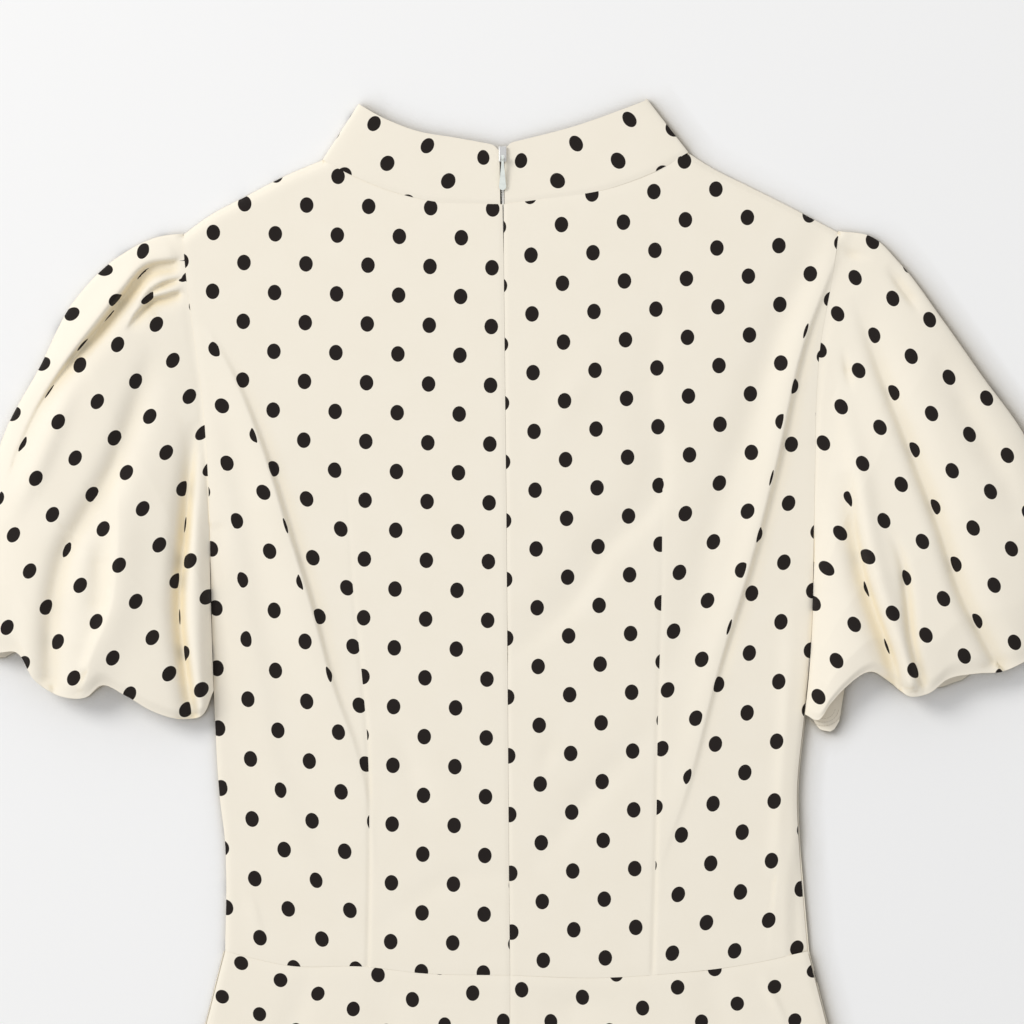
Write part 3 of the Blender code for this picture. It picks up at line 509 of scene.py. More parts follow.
# ---- the body's outline
# places on the two side edges, from the waist up: height, left, right
bodySides = ((13.5, -157.9, 165), (58, -157.4, 161.2), (74, -158, 160), (100, -161, 159),
             (146, -163.7, 163.2), (186, -165, 167), (230, -166.1, 168.2), (285, -167.9, 169.2),
             (320, -170.6, 169.9), (353, -175, 172.6), (381, -178.9, 177.7), (412, -182, 182.4))
centreBackLine = ((-640, 0), (0, 0), (65, -0.6), (257, -2), (352, -3), (463, -4.2))
centreSlot = ((-640, 0.06), (400, 0.08), (424, 0.4), (463, 1))  # half the gap between the backs
shoulderLines = {-1: ((-181.9, 410.5), (-166, 422), (-147, 432), (-126, 443)),
                 1: ((182.4, 412), (156, 426), (132, 438), (112, 448))}
waistLines = {-1: ((-157.9, 13.5), (-122.8, 5.6), (-80.6, 5), (-49.4, 1.4), (0, 0.2)),
              1: ((165, 13.5), (133.9, 6.7), (85, 0.8), (49.4, -1.2), (0, 0.2))}
waistEndY, waistEnd = bodySides[0][0], {-1: bodySides[0][1], 1: bodySides[0][2]}
armholeY = np.linspace(232, 412, 25)    # heights of places along the armhole's seam
sideWords = {-1: "Left", 1: "Right"}
frontWaist = ((-157.9, 13.5), (-110, -6), (-50, -18), (0, -21), (50, -18), (112, -6), (165, 13.5))
dartLines = {-1: ((-78, 74), (-79, 128), (-83, 175), (-87, 214), (-91, 281)),
             1: ((81, 76), (82, 141), (84, 207), (85, 281))}
dartFoot = {-1: -78.9, 1: 78.9}
dartTip, dartIntake = 281, 33    # a dart takes up this much cloth at the waist and none at its tip

# the collar is one band from the left of the zip round the front to the right: base, top and height
collarBand = (
    (-5.4, 427.9, -5.9, 460.4, 5), (-38.3, 429.3, -29, 464.6, 5.2), (-64.8, 435.1, -51, 468.4, 5.4),
    (-87, 444, -69.5, 475.4, 5.4), (-101.2, 451.4, -81.4, 482, 4.8), (-103.6, 452.6, -83.6, 483.4, 3),
    (-102.4, 449.6, -81.8, 480.6, 1.2), (-96.6, 429, -69.6, 455, 0.82), (-81.6, 405.6, -55, 434, 0.82),
    (-51, 389.6, -36, 423, 0.82), (-3.5, 383.4, -3.5, 419.4, 0.82), (44, 390.4, 29, 423.6, 0.82),
    (75.6, 408, 50, 434.6, 0.82), (91.6, 433, 63, 457, 0.82), (97.4, 453.6, 74, 483.2, 1.2),
    (98.6, 456.6, 75.6, 486.2, 3), (96.2, 455.6, 73.6, 484.8, 4.8), (82.6, 447.4, 62, 480.4, 5.4),
    (62.6, 439.4, 45.6, 474.4, 5.4), (42.4, 434.3, 27.8, 468.9, 5.2), (-3, 427.9, -3.1, 461.2, 5))
leftFold, rightFold, bandEnd = 5, 15, len(collarBand) - 1


def sideX(y, side):
    rows = np.array(bodySides)
    heights, places = rows[:, 0], rows[:, 1 if side < 0 else 2]
    slopes = np.gradient(places, heights)
    k = np.clip(np.searchsorted(heights, y) - 1, 0, len(heights) - 2)
    span = heights[k + 1] - heights[k]
    u = (y - heights[k]) / span
    return hermite(places[k], places[k + 1], slopes[k] * span, slopes[k + 1] * span, u)


def along(line, y):
    keys, values = np.array(line).T
    return np.interp(y, keys, values)


def waistY(x, side, line=None):
    chain = chainOf(line or waistLines[side], 81)
    order = np.argsort(chain[:, 0])
    return np.interp(x, chain[order, 0], chain[order, 1])


def bandPoint(at, columns):
    # a smooth curve through the collar's stations, evenly shared between them
    rows = np.array(collarBand)[:, columns]
    k = np.clip(np.floor(at).astype(int), 0, bandEnd - 1)
    before, after = rows[np.maximum(k - 1, 0)], rows[np.minimum(k + 2, bandEnd)]
    u = (at - k)[..., None]
    return hermite(rows[k], rows[k + 1], (rows[k + 1] - before) / 2, (after - rows[k]) / 2, u)


def neckEdge(first, last, share):
    return bandPoint(between(first, last, np.asarray(share, float)), [0, 1])


# ---- the two halves of the back bodice
# ridges are lifted and troughs sunk; paths run from the armhole or the tip down
bodiceFolds = {
    -1: (
        (4.6, 2.3, 17, -12, (0, 0.6, 1, 0.9, 0.5, 0.2, 0, 0), ((-171, 362), (-157, 338), (-138, 292),
         (-125, 250), (-112, 208), (-98, 157), (-86, 124), (-79, 91), (-76, 45), (-76, 3))),
        (-0.5, 1.6, 1.6, 0, (0, 0.5, 1, 1), dartLines[-1][::-1] + ((-79, 5),)),
        (1.5, 7, 11, -2, (0, 1, 1, 0.8, 0.6, 0.5, 0.4, 0), ((-172, 330), (-163, 293), (-155, 253),
         (-148, 208), (-140, 165), (-132, 116), (-122, 87), (-97, 30))),
        (-0.9, 7, 7, 0, (0.2, 1, 0.2), ((-64, 137), (-55, 112), (-46, 91))),
        (0.7, 9, 9, 0, (0.2, 1, 0.2), ((-61, 141), (-35, 105), (-6, 71))),
        (-0.6, 7, 7, 0, (0.3, 1, 0.6), ((-73, 28), (-24, 55), (-4, 55))),
        (0.6, 2.5, 5, 0, (0.2, 1, 0.4), ((-145, 47), (-138, 22))),
    ),
    1: (
        (3.9, 2.3, 9, 13, (0.25, 0.9, 1, 0.9, 0.6, 0.3, 0, 0), ((180, 398), (162, 351), (147, 285),
         (132, 227), (116, 175), (98, 106), (81, 53), (77, 20), (76, -2))),
        (-0.5, 1.6, 1.6, 0, (0, 0.5, 1, 1), dartLines[1][::-1] + ((79, 2),)),
        (-1.6, 8, 10, 0, (0.5, 1, 1, 0.8, 0.3), ((171, 407), (148, 355), (131, 302), (113, 250),
         (99, 195), (89, 171))),
        (-1.6, 7, 12, 0, (0.2, 0.6, 1, 1, 1, 0.3), ((83, 367), (78, 316), (83, 293), (80, 265), (52, 236),
         (36, 210), (1, 178))),
        (-1, 8, 8, 0, (0.4, 1, 0.3), ((75, 133), (45, 101), (16, 64))),
        (-0.6, 5, 5, 0, (0.2, 1, 0.3), ((24, 135), (18, 112))),
        (0.6, 9, 8, 0, (0.2, 1, 0.2), ((49, 349), (17, 293))),
        (-0.7, 4, 6, 0, (0.2, 1, 0.2), ((124, 195), (117, 165))),
        (1.6, 30, 5, 0, (0, 1, 1, 0.6), ((156, 214), (155, 160), (152, 100), (148, 60))),
    ),
}
bodiceGrain = {-1: {"dot": (-44, 426), "swing": -0.7, "rise": -1.2},
               1: {"dot": (46, 401), "swing": 1, "rise": 2.2}}
# the mesh runs along folds that are narrower than tight
bodice = {"rows": 190, "sideColumns": 84, "centreColumns": 54, "tight": 4.1, "flat": (0.195, 0.47)}
# at the waist's right end the front comes round the side, and shows as a lower strip beside the back
sideStrip = {"drop": 1.9, "fade": (96, 70), "slope": (-1.5, 7),
             "edge": ((158, 90), (158, 78), (156, 67), (154, 52), (153, 35), (153, 20), (154, 2))}


def backEnds(side):
    fold, zipEnd = (leftFold, 0) if side < 0 else (rightFold, bandEnd)
    return fold, zipEnd, tuple(neckEdge(fold, fold, 0.0))


def backForm(side):
    # how high the middle of this half's cloth lies; the sleeve starts at the same height
    fold, zipEnd, corner = backEnds(side)
    shoulderChain = chainOf(shoulderLines[side] + (corner,))
    neckChain = neckEdge(fold, zipEnd, np.linspace(0, 1, 41))
    waistChain = chainOf(waistLines[side])
    armChain = pair(sideX(armholeY, side), armholeY)

    def height(x, y):
        sideGap = np.abs(sideX(y, side) - x)
        calm = np.where(y > cloth["calmFrom"], 1.0, np.clip(sideGap / cloth["edgeCalm"], 0, 1))
        z = cloth["backMid"] + foldLift(bodiceFolds[side], x, y) * calm
        z = z - dip(neckChain, x, y) - dip(waistChain, x, y) - dip(armChain, x, y)
        if side > 0:
            past = signedTo(chainOf(sideStrip["edge"]), x, y)[0]
            lowered = smoothStep(*sideStrip["slope"], past) * smoothStep(*sideStrip["fade"], y)
            z = z - sideStrip["drop"] * lowered
        low = np.minimum(cloth["sideMid"], z - cloth["sideLeast"])
        z = roundDown(z, low, sideGap, cloth["sideRoll"], smoothStep(*cloth["sideEnds"], y))
        z = roundDown(z, cloth["edgeMid"], measureTo(shoulderChain, x, y)[0], cloth["shoulderRoll"])
        return z - dipOverZip(np.abs(x - along(centreBackLine, y)))

    return height, armChain


def makeBackBodice(side):
    fold, zipEnd, corner = backEnds(side)
    height, armChain = backForm(side)
    shoulder = shoulderLines[side] + (corner,)
    footX = dartFoot[side]
    dart = ((footX, float(waistY(footX, side))),) + dartLines[side] + (corner,)
    topY = float(neckEdge(fold, zipEnd, 1)[1])
    sideEdge = edgeUp(waistEndY, shoulder[0][1], lambda y: sideX(y, side))
    centre = edgeUp(float(waistY(0.0, side)), topY,
                    lambda y: along(centreBackLine, y) + side * along(centreSlot, y))

    def waist(first, last):
        return edgeAcross(first, last, lambda x: waistY(x, side))

    planSide = coons((waist(waistEnd[side], footX), shoulder, sideEdge, dart))
    planCentre = coons((waist(footX, float(centre(0.0)[0])), lambda k: neckEdge(fold, zipEnd, k),
                        dart, centre))
    rowShares = np.linspace(0, 1, bodice["rows"] + 1)
    chains = pathsOf(bodiceFolds[side], bodice["tight"])
    halves = []
    for onSide in (True, False):
        plan, columns, edge = ((planSide, bodice["sideColumns"], armChain) if onSide else
                               (planCentre, bodice["centreColumns"], centre(np.linspace(0, 1, 25))))
        x, y = split(plan(*crowd(plan, chains + [edge, chainOf(dart, 49)], rowShares, columns)))
        intake = dartIntake * np.clip(1 - y / dartTip, 0, 1) if onSide else 0.0
        grain = layGrain(bodiceGrain[side], bodiceFolds[side], x, y, side * intake)
        halves.append((np.dstack((x, y, height(x, y))), grain))
    piece = sheetMesh("backBodice" + sideWords[side], halves, mirrored=side > 0)
    finishCloth(piece, "back_bodice_" + sideWords[side].lower())


for side in (-1, 1):
    makeBackBodice(side)
print("back bodice made")


# ---- the collar, a doubled band round the neck
# along the band from the zip, and down from its top edge, to a dot; the row climbs by drift
collarGrain = {-1: {"dot": (10, 9), "drift": -0.05}, 0: {"dot": (4, 8), "drift": 0},
               1: {"dot": (10, 12.5), "drift": -0.08}}
# it turns in at its seam where it lies on the back, which is where it is higher than onBack
collar = {"wall": 0.8, "stand": 36, "columnsEach": 14, "rows": 36, "turnIn": 0.5, "turnWidth": 1.6,
          "onBack": 3, "cornerDrop": 0.1, "cornerWidth": 6, "flat": (0.48, 0.037)}


def makeCollar():
    patches = []
    for first, last, side in ((0, leftFold, -1), (leftFold, rightFold, 0), (rightFold, bandEnd, 1)):
        at = np.linspace(first, last, (last - first) * collar["columnsEach"] + 1)
        t = np.linspace(0, 1, collar["rows"] + 1)
        base, top = bandPoint(at, [0, 1, 4]), bandPoint(at, [2, 3, 4])
        run = reachOf((base + top) / 2)
        run = run - run[-1] if side > 0 else run
        if side:
            corner = np.clip(1 - np.abs(run) / collar["cornerWidth"], 0, 1) ** 2
            top = top - (top - base) * (collar["cornerDrop"] * corner)[:, None]
        away = (base - top) / np.linalg.norm(base - top, axis=1, keepdims=True)
        base = base + away * cloth["under"]
        points = base[None] * (1 - t[:, None, None]) + top[None] * t[:, None, None]
        fromSeam = np.linalg.norm(points[..., :2] - base[None, :, :2], axis=-1)
        turned = np.exp(-(fromSeam / collar["turnWidth"]) ** 2) * (points[..., 2] > collar["onBack"])
        points[..., 2] -= collar["turnIn"] * turned
        lay = collarGrain[side]
        across = -side * (np.abs(run) - lay["dot"][0]) if side else run - lay["dot"][0]
        down = collar["stand"] * (1 - t[:, None]) - lay["dot"][1] - lay["drift"] * np.abs(run)[None]
        patches.append((points, pair(across, down) * mm))
    piece = sheetMesh("collarBand", patches)
    finishCloth(piece, "collar", collar["wall"], False)


makeCollar()
print("collar made")

# ---- the sleeves
leftSleeve = {
    "outer": ((-182.6, 411.4), (-193, 410.2), (-216.7, 399), (-241, 375), (-262, 335), (-278, 306),
              (-292.6, 254), (-299, 210), (-296, 182)),
    "inner": ((-166.7, 229), (-166.2, 205), (-165.4, 180), (-164.6, 158)),
    "hem": ((-296, 182), (-283.4, 179.4), (-274, 180), (-262, 163.5), (-247, 155), (-234, 155),
            (-226, 161.5), (-212, 155.6), (-197, 147), (-182, 142.8), (-171.5, 144), (-164.6, 158)),
    "folds": (
        (-7.5, 7, 1.5, -20, (0.7, 1, 1, 0.7, 0.4, 0.2), ((-185, 396), (-201, 393), (-213, 379),
         (-227, 361), (-244, 340), (-260, 316), (-274, 286))),
        (7, 1.4, 9, 0, (0.6, 1, 1, 0.8, 0.3, 0), ((-185, 398), (-202, 395), (-215, 381), (-229, 363),
         (-246, 341), (-262, 317))),
        (-3.5, 4, 1.4, -5, (0.7, 1, 0.8, 0), ((-184, 386), (-191, 384), (-198, 380), (-206, 370))),
        (3, 1.6, 5, 0, (0.6, 1, 0.8, 0), ((-184, 388), (-192, 386), (-200, 381), (-208, 371))),
        (-4.5, 4.5, 1.4, -6, (0.7, 1, 1, 0.6, 0), ((-184, 379), (-190, 377), (-199, 374), (-206, 367),
         (-212, 357))),
        (3.5, 1.6, 5, 0, (0.6, 1, 1, 0.6, 0), ((-184, 381), (-191, 379), (-200, 376), (-208, 368),
         (-214, 358))),
        (3.6, 6, 9, 0, (0.2, 1, 1, 0.3), ((-242, 330), (-252, 305), (-262, 281), (-276, 255))),
        (-6, 9, 6, -3, (0, 0.7, 0.9, 1, 1, 1), ((-196, 352), (-206, 320), (-222, 277), (-236, 253),
         (-246, 235), (-250, 221), (-254, 186), (-254, 166))),
        (-3, 6, 6, 0, (0.2, 1, 0.6), ((-226, 251), (-228, 208))),
        (3.5, 12, 4.5, 0, (0.1, 0.8, 1, 1), ((-216, 281), (-216, 231), (-220, 201), (-228, 182),
         (-232, 172))),
        (-9, 4, 5.5, 14, (0, 0.6, 1, 1, 1, 0.9), ((-176, 308), (-178, 281), (-181, 241), (-183, 201),
         (-181, 181), (-178, 162), (-175, 146))),
        (4, 4.5, 6, 0, (0, 0.6, 1, 1), ((-172, 290), (-173, 240), (-172, 190), (-171, 150))),
    ),
    "grain": {"dot": (-203, 259), "swing": -22, "rise": -16, "ease": (0.93, 1.03)},
}
rightSleeve = {
    "outer": ((183.1, 413), (200, 410), (216.7, 394.5), (238.9, 365), (261.1, 333.4), (285.6, 298.6),
              (300, 262), (305.6, 222), (299, 182)),
    "inner": ((168.8, 229), (167.7, 190), (165.9, 165), (163.8, 145)),
    "hem": ((299, 182), (285.6, 175), (272.2, 169), (258, 168), (242, 165), (230.6, 156.8), (221, 155.4),
            (211, 162.6), (200, 169), (184, 159), (177, 151), (170, 142), (163.8, 145)),
    "folds": (
        (-2.5, 3, 2.5, 0, (0.8, 1, 0.3), ((185, 402), (191, 400), (197, 399))),
        (-4.5, 5, 2.5, 3, (0, 1, 1, 0), ((209, 394), (217, 382), (228, 367))),
        (-4.2, 8, 8, 0, (0.2, 1, 1, 0.4), ((237, 346), (248, 325), (262, 297), (274, 275), (280, 261))),
        (-6.2, 10, 4.5, 3, (0, 0.7, 0.9, 1, 1, 1), ((191, 378), (207, 332), (223, 289), (237, 251),
         (250, 211), (268, 176))),
        (-8, 3.5, 8, -10, (0, 0.7, 1, 1, 1), ((187, 280), (191, 245), (195, 225), (201, 205), (213, 170),
         (215, 161))),
        (3.4, 6, 5, 0, (0.2, 0.8, 1, 1), ((183, 320), (194, 273), (199, 241), (207, 209), (215, 186),
         (221, 164))),
        (-3.4, 3.5, 3, -3, (0, 0.8, 1, 1), ((209, 249), (216, 231), (219, 211), (221, 187), (227, 163))),
        (-1.6, 2.2, 2.2, 0, (0.2, 1, 0.2), ((185, 346), (187, 336), (189, 326))),
    ),
    "grain": {"dot": (247, 281), "swing": 20, "rise": 15.5, "ease": (0.93, 1.03)},
}
sleeves = {-1: leftSleeve, 1: rightSleeve}
puff = {
    "rows": 150, "topColumns": 120, "underColumns": 44, "tight": 4.6, "flat": (0.36, 0.29),
    # at these shares of the way from the cap to the hem, the middle's and the edges' heights
    "along": (0, 0.1, 0.3, 0.6, 0.85, 1), "crown": (5, 8, 15, 21, 23, 21), "edge": (2.6, 3, 4, 5, 6, 6),
    "square": 3, "edgePower": 24,    # how square a cut across the two layers is
    "calm": 0.03,                    # folds grow over this share from the cap
    "meet": 0.03,                    # and so does the change from the body's height
    "least": 2.8,                    # no fold of the top layer goes lower than this
    "hemTuck": 2.2, "hemFrom": 0.955,    # the hem turns down, from this share on
    "reachFrom": 0.8,                # the under layer reaches out from this share on
    "hang": 20,                      # the power by which the cap leaves the body's side
}
# the under layer reaches out past the hem here: x, and how far below the top layer's hem
tongues = ((-294, 0), (-288, 3), (-280, 3), (-274, 0), (168, 0), (170, 3), (173, 8), (176, 14), (178, 17),
           (180, 18), (182, 18), (184, 14), (185, 9), (186, 0), (235, 0), (240, 4), (250, 4), (255, 0))
flap = {"middle": 178, "width": 8, "rise": 3.6}    # the one at the right underarm stands off the floor


def flapRise(x):
    return flap["rise"] * np.exp(-((x - flap["middle"]) / flap["width"]) ** 2)


def makeSleeve(side):
    make = sleeves[side]
    inner, tipY, underarmY = make["inner"], make["outer"][0][1], make["inner"][0][1]
    turnGap = abs(inner[0][0] - float(sideX(underarmY, side)))

    def cap(k):
        y = between(tipY, underarmY, k)
        gap = (turnGap + cloth["under"]) * k ** puff["hang"] - cloth["under"]
        return pair(sideX(y, side) + side * gap, y)

    capChain = cap(np.linspace(0, 1, 25))
    outer = (tuple(capChain[0]),) + make["outer"][1:]
    plan = coons((cap, make["hem"], outer, inner))
    bodyHeight = backForm(side)[0]

    def top(s, t):
        x, y = split(plan(s, t))
        edge = np.interp(t, puff["along"], puff["edge"])
        grow = np.clip(t / puff["calm"], 0, 1)
        crown = np.interp(t, puff["along"], puff["crown"]) + foldLift(make["folds"], x, y) * grow
        crown = np.maximum(crown, between(cloth["backMid"], puff["least"], grow))
        shape = np.sqrt(np.clip(1 - np.abs(2 * s - 1) ** puff["square"], 0, 1))
        tuck = puff["hemTuck"] * smoothStep(puff["hemFrom"], 1.0, t) * shape
        z = between(edge, crown, shape) - dip(capChain, x, y) - tuck
        start = bodyHeight(x, y) - cloth["underDrop"]
        return x, y, between(z, start, 1 - smoothStep(0.0, puff["meet"], t))

    def under(s, t):
        x, y = split(plan(s, t))
        low = np.clip((t - puff["reachFrom"]) / (1 - puff["reachFrom"]), 0, None) ** 2
        y = y - along(tongues, x) * low
        edge = np.interp(t, puff["along"], puff["edge"])
        z = between(cloth["frontMid"], edge, np.abs(2 * s - 1) ** puff["edgePower"])
        return x, y, np.maximum(z, cloth["frontMid"] + flapRise(x) * low)

    rowShares = np.linspace(1, 0, puff["rows"] + 1)  # from the hem up to the cap
    chains = pathsOf(make["folds"], puff["tight"]) + [chainOf(outer), chainOf(inner), capChain]
    x, y, z = top(*crowd(plan, chains, rowShares, puff["topColumns"], extra=2))
    patches = [(np.dstack((x, y, z)), layGrain(make["grain"], make["folds"], x, y))]
    lines = 0.5 + 0.5 * np.cos(np.linspace(0, math.pi, puff["underColumns"] + 1))
    x, y, z = under(*np.meshgrid(lines, rowShares))
    patches.append((np.dstack((x, y, z)), layGrain(make["grain"], (), x, y)))
    piece = sheetMesh("sleeve" + sideWords[side], patches, closed=True, mirrored=side > 0)
    finishCloth(piece, "sleeve_" + sideWords[side].lower())


for side in (-1, 1):
    makeSleeve(side)
print("sleeves made")

# ---- the skirt
skirt = {
    "length": 620, "flare": 0.255, "hemRise": 20, "rows": 150, "columns": 110,
    "rowPower": 0.8,            # brings the rows closer together at the waist
    "spread": 0.3,              # how fast the cut widens, for each millimetre down, far below the waist
    "spreadMore": 0.35,         # by how much more it widens at the waist
    "spreadEase": 150,          # and over what length that eases off
    "least": 1.9,               # no trough goes lower than this
    "flat": (0.36, 0.64),
}
hemStitches = {"row": 2, "off": 0.05, "pitch": 7, "size": (1.1, 0.3, 0.22)}
# the first ones start at the waist; the flutes below it are even, as a flared panel lies
skirtFolds = {
    -1: (
        (-2, 8, 8, 0, (0.3, 1, 1.4, 2), ((-113, -6), (-122, -30), (-160, -330), (-200, -622))),
        (-1.4, 10, 14, 0, (0.4, 0.8, 1.2, 2.2), ((-68, -14), (-80, -200), (-96, -420), (-114, -622))),
        (2.4, 20, 16, 0, (0, 0.5, 1.4, 2.2), ((-96, -30), (-118, -230), (-140, -420), (-164, -622))),
        (2, 16, 16, 0, (0, 0.6, 1.5, 2.2), ((-34, -80), (-42, -300), (-50, -460), (-58, -622))),
        (2, 12, 16, 0, (0, 0.6, 1.2, 1.8), ((-176, -120), (-206, -300), (-236, -470), (-262, -622))),
    ),
    1: (
        (-1.4, 9, 12, 0, (0.3, 1, 0.4), ((16, -14), (35, -17), (53, -19))),
        (-1.8, 10, 10, 0, (0.4, 0.8, 1.2, 2.2), ((112, -6), (124, -120), (152, -330), (192, -622))),
        (2.6, 18, 20, 0, (0, 0.6, 1.4, 2), ((86, -40), (100, -230), (116, -420), (136, -622))),
        (1.8, 14, 18, 0, (0, 0.5, 1.3, 2), ((26, -140), (34, -330), (42, -480), (50, -622))),
        (2.2, 14, 12, 0, (0, 0.6, 1.2, 1.8), ((166, -110), (196, -300), (228, -470), (258, -622))),
        (1.2, 2, 3, 0, (0.3, 1, 0.4), ((141, -2), (147, -14), (153, -26))),
    ),
}
skirtGrain = {-1: (-55, -13), 1: (41, -12)}  # a dot's place


def skirtSide(y, side):
    return waistEnd[side] + side * skirt["flare"] * (waistEndY - y)


def hemY(x):
    reach = float(skirtSide(-skirt["length"], 1))
    return -skirt["length"] + skirt["hemRise"] * (x / reach) ** 2


def onCut(share, down, side):
    # a place on the cut panel, from its share of the way to the side and its depth below the waist:
    # the crosswise threads fall towards the side, because the panel is cut as part of a ring
    more = np.exp(-down / skirt["spreadEase"])
    spread = skirt["spread"] + skirt["spreadMore"] * more
    arc = abs(waistEnd[side]) + skirt["spread"] * down
    ring = (arc + skirt["spreadMore"] * skirt["spreadEase"] * (1 - more)) / spread
    return side * ring * np.sin(spread * share), down + ring * (np.cos(spread * share) - 1)


def makeBackSkirt(side):
    name = "backSkirt" + sideWords[side]
    hemEnd = float(skirtSide(-skirt["length"] + skirt["hemRise"], side))
    slot = side * centreSlot[0][1]
    bottom = edgeAcross(hemEnd, slot, hemY)
    top = edgeAcross(waistEnd[side], slot, lambda x: waistY(x, side) + cloth["under"])
    left = edgeUp(float(hemY(hemEnd)), waistEndY, lambda y: skirtSide(y, side))
    right = edgeUp(float(hemY(0.0)), float(waistY(0.0, side)), lambda y: slot)
    plan = coons((bottom, top, left, right))

    waistChain = chainOf(waistLines[side])
    rowShares = np.linspace(0, 1, skirt["rows"] + 1) ** skirt["rowPower"]
    shares = crowd(plan, pathsOf(skirtFolds[side]), rowShares, skirt["columns"], extra=0.8, width=9)
    x, y = split(plan(*shares))
    sideGap = np.abs(skirtSide(y, side) - x)
    z = cloth["backMid"] + foldLift(skirtFolds[side], x, y) * np.clip(sideGap / cloth["edgeCalm"], 0, 1)
    z = np.maximum(z, skirt["least"])
    z = z - dip(waistChain, x, y) - dip(waistChain, x, y, cloth["underDrop"], 1)
    z = roundDown(z, cloth["sideMid"], sideGap, cloth["sideRoll"]) - dipOverZip(np.abs(x))
    run = runAcross(np.hypot(np.diff(x, axis=1), np.diff(z, axis=1)))
    share = 1 - run / run[:, -1:]    # 0 at the centre, 1 at the side
    across, drop = onCut(share, waistY(waistEnd[side] * share, side) - y, side)
    dotX, dotY = skirtGrain[side]
    dotAcross, dotDrop = onCut(dotX / skirtSide(dotY, side), float(waistY(dotX, side)) - dotY, side)
    points, grain = np.dstack((x, y, z)), pair(across - dotAcross, drop - dotDrop) * mm
    piece = sheetMesh(name, [(points, grain)], mirrored=side > 0)
    finishCloth(piece, "back_skirt_" + sideWords[side].lower())
    hemRow = points[hemStitches["row"], ::-side] + (0, 0, cloth["wall"] / 2 + hemStitches["off"])
    repeatAlong(name + "HemStitches", [hemRow], hemStitches["pitch"], hemStitches["size"], thread)


for side in (-1, 1):
    makeBackSkirt(side)
print("back skirt made")

# ---- the front, which lies on the floor
front = {
    "lip": 1,                 # it shows this far past the back at the sides
    "lipEnds": (175, 130),    # on the bodice only on the right, setting in between these heights
    "bodice": (120, 60, (0.37, 0.48)), "skirt": (90, 60, (0.66, 0.64)),  # columns, rows, flat size
}


def makeFront(name, node, sides, columns, rows, flat):
    across = 0.5 - 0.5 * np.cos(np.linspace(0, math.pi, columns + 1))  # closer at the sides
    x, y = split(coons(sides)(*np.meshgrid(across, np.linspace(0, 1, rows + 1))))
    inFrom = np.minimum(x - x[:, :1], x[:, -1:] - x)
    turned = np.clip(1 - inFrom / cloth["turnUp"], 0, 1) ** 2 * smoothStep(*cloth["turnEnds"], y)
    z = between(cloth["frontMid"], cloth["turnTo"], turned)
    # the right side faces the floor, so the columns run the other way
    piece = sheetMesh(name, [(np.dstack((x, y, z)), pair(x, y) * mm)], mirrored=True)
    finishCloth(piece, node)


def makeFrontBodice():
    leftCorner, rightCorner = backEnds(-1)[2], backEnds(1)[2]
    bottom = edgeAcross(waistEnd[-1], waistEnd[1], lambda x: waistY(x, 1, frontWaist))
    left = edgeUp(waistEndY, shoulderLines[-1][0][1], lambda y: sideX(y, -1))
    right = edgeUp(waistEndY, shoulderLines[1][0][1],
                   lambda y: sideX(y, 1) + front["lip"] * smoothStep(*front["lipEnds"], y))

    def top(s):
        # left shoulder, neck, right shoulder
        line = np.vstack((chainOf(shoulderLines[-1] + (leftCorner,), 12),
                          neckEdge(leftFold, rightFold, np.linspace(0, 1, 42)[1:-1]),
                          chainOf(shoulderLines[1] + (rightCorner,), 12)[::-1]))
        reach = reachOf(line)
        return pair(*(np.interp(s * reach[-1], reach, column) for column in line.T))

    makeFront("frontBodice", "front_bodice", (bottom, top, left, right), *front["bodice"])


def makeFrontSkirt():
    low = -skirt["length"] + skirt["hemRise"]
    ends = {which: float(skirtSide(low, which)) + which * front["lip"] for which in (-1, 1)}

    def side(which):
        return edgeUp(float(hemY(ends[which])), waistEndY,
                      lambda y: skirtSide(y, which) + which * front["lip"])

    bottom = edgeAcross(ends[-1], ends[1], hemY)
    top = edgeAcross(waistEnd[-1] - front["lip"], waistEnd[1] + front["lip"],
                     lambda x: waistY(x, 1, frontWaist))
    makeFront("frontSkirt", "front_skirt", (bottom, top, side(-1), side(1)), *front["skirt"])


makeFrontBodice()
makeFrontSkirt()
print("front made")

# ---- the zip
silver = plainMaterial("zipSilver", (0.88, 0.88, 0.87, 1), 0.35, 0.8, 900, 0.1)
coilPlastic = plainMaterial("coilPlastic", (0.86, 0.85, 0.82, 1), 0.45, 0.0, 1400, 0.1)
mint = plainMaterial("mintEnamel", (0.93, 0.98, 0.93, 1), 0.35, 0.0, 500, 0.05)
for node, material in (("zip_coil", coilPlastic), ("zip_slider", silver), ("zip_pull", mint)):
    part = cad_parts[node]
    part.data.materials.clear()
    part.data.materials.append(material)
zipTeeth = {
    "top": 451, "bottom": 396, "pitch": 0.95, "size": (0.62, 0.95, 0.5), "rowsApart": 0.42,
    "rise": ((400, 2.9), (424, 2.9), (440, 5.5)),  # the strip rises to the collar's level
}
# round the flap at the underarm: degrees from +X, and distances from the middle
flapStitches = {"middle": (174, 149), "turns": (225, 345), "away": (6.5, 8.5, 10.5), "off": 0.1,
                "pitch": 1.5, "size": (1.3, 0.4, 0.3)}


def makeZipTeeth():
    # two rows of coil loops on the strip
    y = np.linspace(zipTeeth["top"], zipTeeth["bottom"], 40)
    rows = []
    for side in (-1, 1):
        x = along(centreBackLine, y) + side * zipTeeth["rowsApart"]
        rows.append(np.column_stack((x, y, along(zipTeeth["rise"], y))))
    repeatAlong("zipTeeth", rows, zipTeeth["pitch"], zipTeeth["size"], coilPlastic)


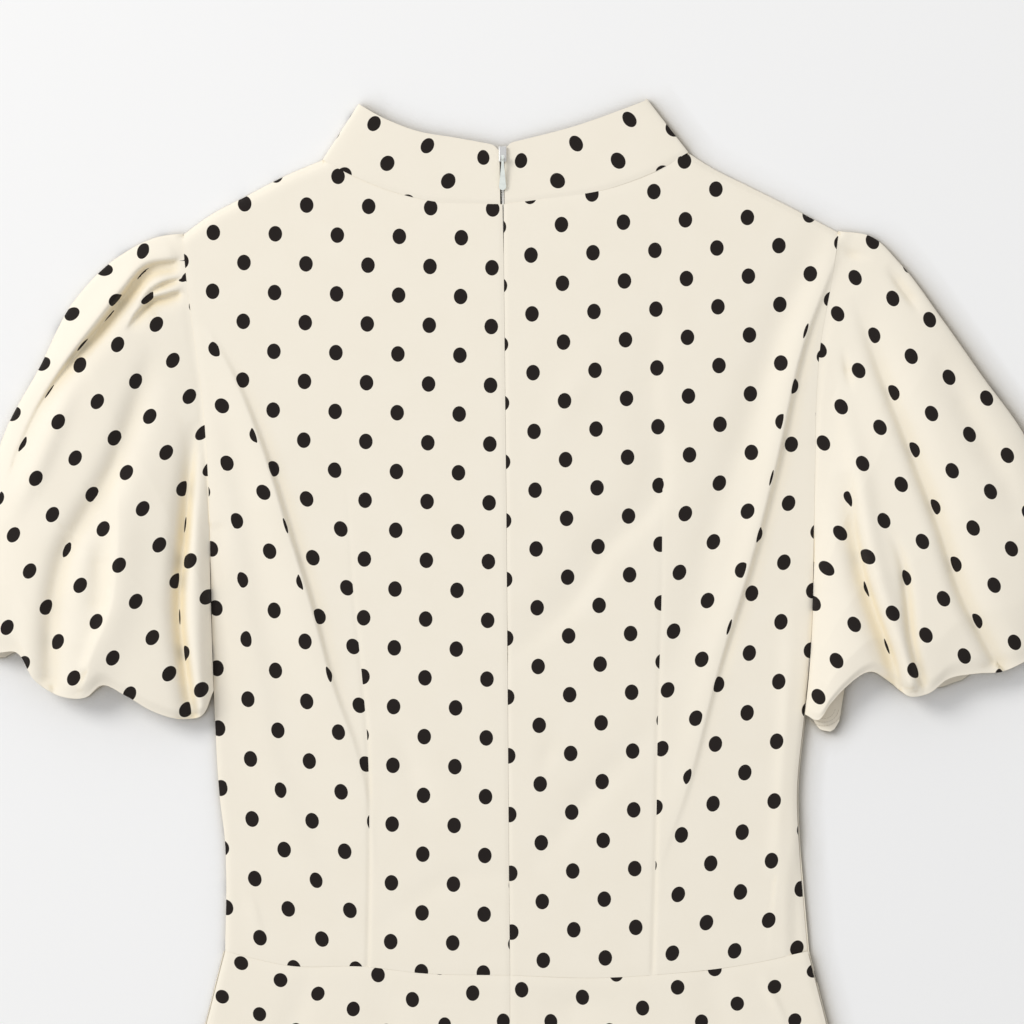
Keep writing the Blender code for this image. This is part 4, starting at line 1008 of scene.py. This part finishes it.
def makeFlapStitches():
    # the turned hem inside the sleeve's flap has rows of stitches
    turns = np.radians(np.linspace(*flapStitches["turns"], 30))
    rows = []
    for away in flapStitches["away"]:
        x = flapStitches["middle"][0] + away * np.cos(turns)
        y = flapStitches["middle"][1] + away * np.sin(turns)
        z = cloth["frontMid"] + cloth["wall"] / 2 + flapStitches["off"] + flapRise(x)
        rows.append(np.column_stack((x, y, z)))
    repeatAlong("flapStitches", rows, flapStitches["pitch"], flapStitches["size"], thread)


makeZipTeeth()
makeFlapStitches()
print("zip and stitches made")


# ---- floor, light and camera
# in metres, round the middle of what the camera sees; the window's turn is from +X, its height above
# the floor, and nearby cloth puts the paper on its far side in a deep warm shade
studio = {
    "middle": (0.0011, 0.2572, 0), "cameraUp": 3.2, "frameWidth": 0.5689, "sensor": 36, "floor": 12,
    "worldStrength": 0.66, "worldColour": (0.985, 0.99, 1, 1), "windowLean": 0.06,
    "keyPower": 60, "keyColour": (1, 0.985, 0.955), "keySize": 1.6, "keyAway": 3.7,
    "keyTurn": 146, "keyUp": 44,
    "paper": (0.93, 0.93, 0.93, 1), "paperShade": (0.42, 0.38, 0.31, 1),
    "reach": 16, "from": 0.97, "strength": 2.4,
}


def makeStudio():
    bpy.ops.mesh.primitive_plane_add(size=studio["floor"], location=(0, 0, 0))
    floor = bpy.context.active_object
    floor.name = "paleFloor"
    material, tree, shader = newMaterial("palePaper")
    turn, up = math.radians(studio["keyTurn"]), math.radians(studio["keyUp"])
    toWindow = (math.cos(up) * math.cos(turn), math.cos(up) * math.sin(turn), math.sin(up))
    facing = addNode(tree, "ShaderNodeCombineXYZ", enumerate(toWindow)).outputs[0]
    shade = mixColour(tree, shutIn(tree, studio, False, facing), studio["paper"], studio["paperShade"])
    setInputs(tree, shader, {"Base Color": shade, "Roughness": 0.9, "Specular IOR Level": 0.1})
    floor.data.materials.append(material)

    world = bpy.data.worlds.new("softRoom")
    world.use_nodes = True
    tree = world.node_tree
    place = addNode(tree, "ShaderNodeTexCoord").outputs["Generated"]
    lean = vectorNode(tree, "DOT_PRODUCT", place, (math.cos(turn), math.sin(turn), 0))
    strength = mathNode(tree, "MULTIPLY_ADD", lean, studio["windowLean"], studio["worldStrength"])
    setInputs(tree, tree.nodes["Background"], {"Color": studio["worldColour"], "Strength": strength})
    bpy.context.scene.world = world

    light = bpy.data.lights.new("key", "AREA")
    light.shape, light.size, light.energy = "DISK", studio["keySize"], studio["keyPower"]
    light.color = studio["keyColour"]
    key = newObject("key", light)
    key.location = [at + studio["keyAway"] * part for at, part in zip(studio["middle"], toWindow)]
    key.rotation_euler = (math.pi / 2 - up, 0, turn + math.pi / 2)

    lens = bpy.data.cameras.new("overhead")
    lens.sensor_width = studio["sensor"]
    lens.lens = studio["sensor"] * studio["cameraUp"] / studio["frameWidth"]
    lens.clip_end = 20
    camera = newObject("overhead", lens)
    camera.location = (*studio["middle"][:2], studio["cameraUp"])
    bpy.context.scene.camera = camera
    bpy.context.scene.view_settings.view_transform = "Standard"


makeStudio()
print("studio made")
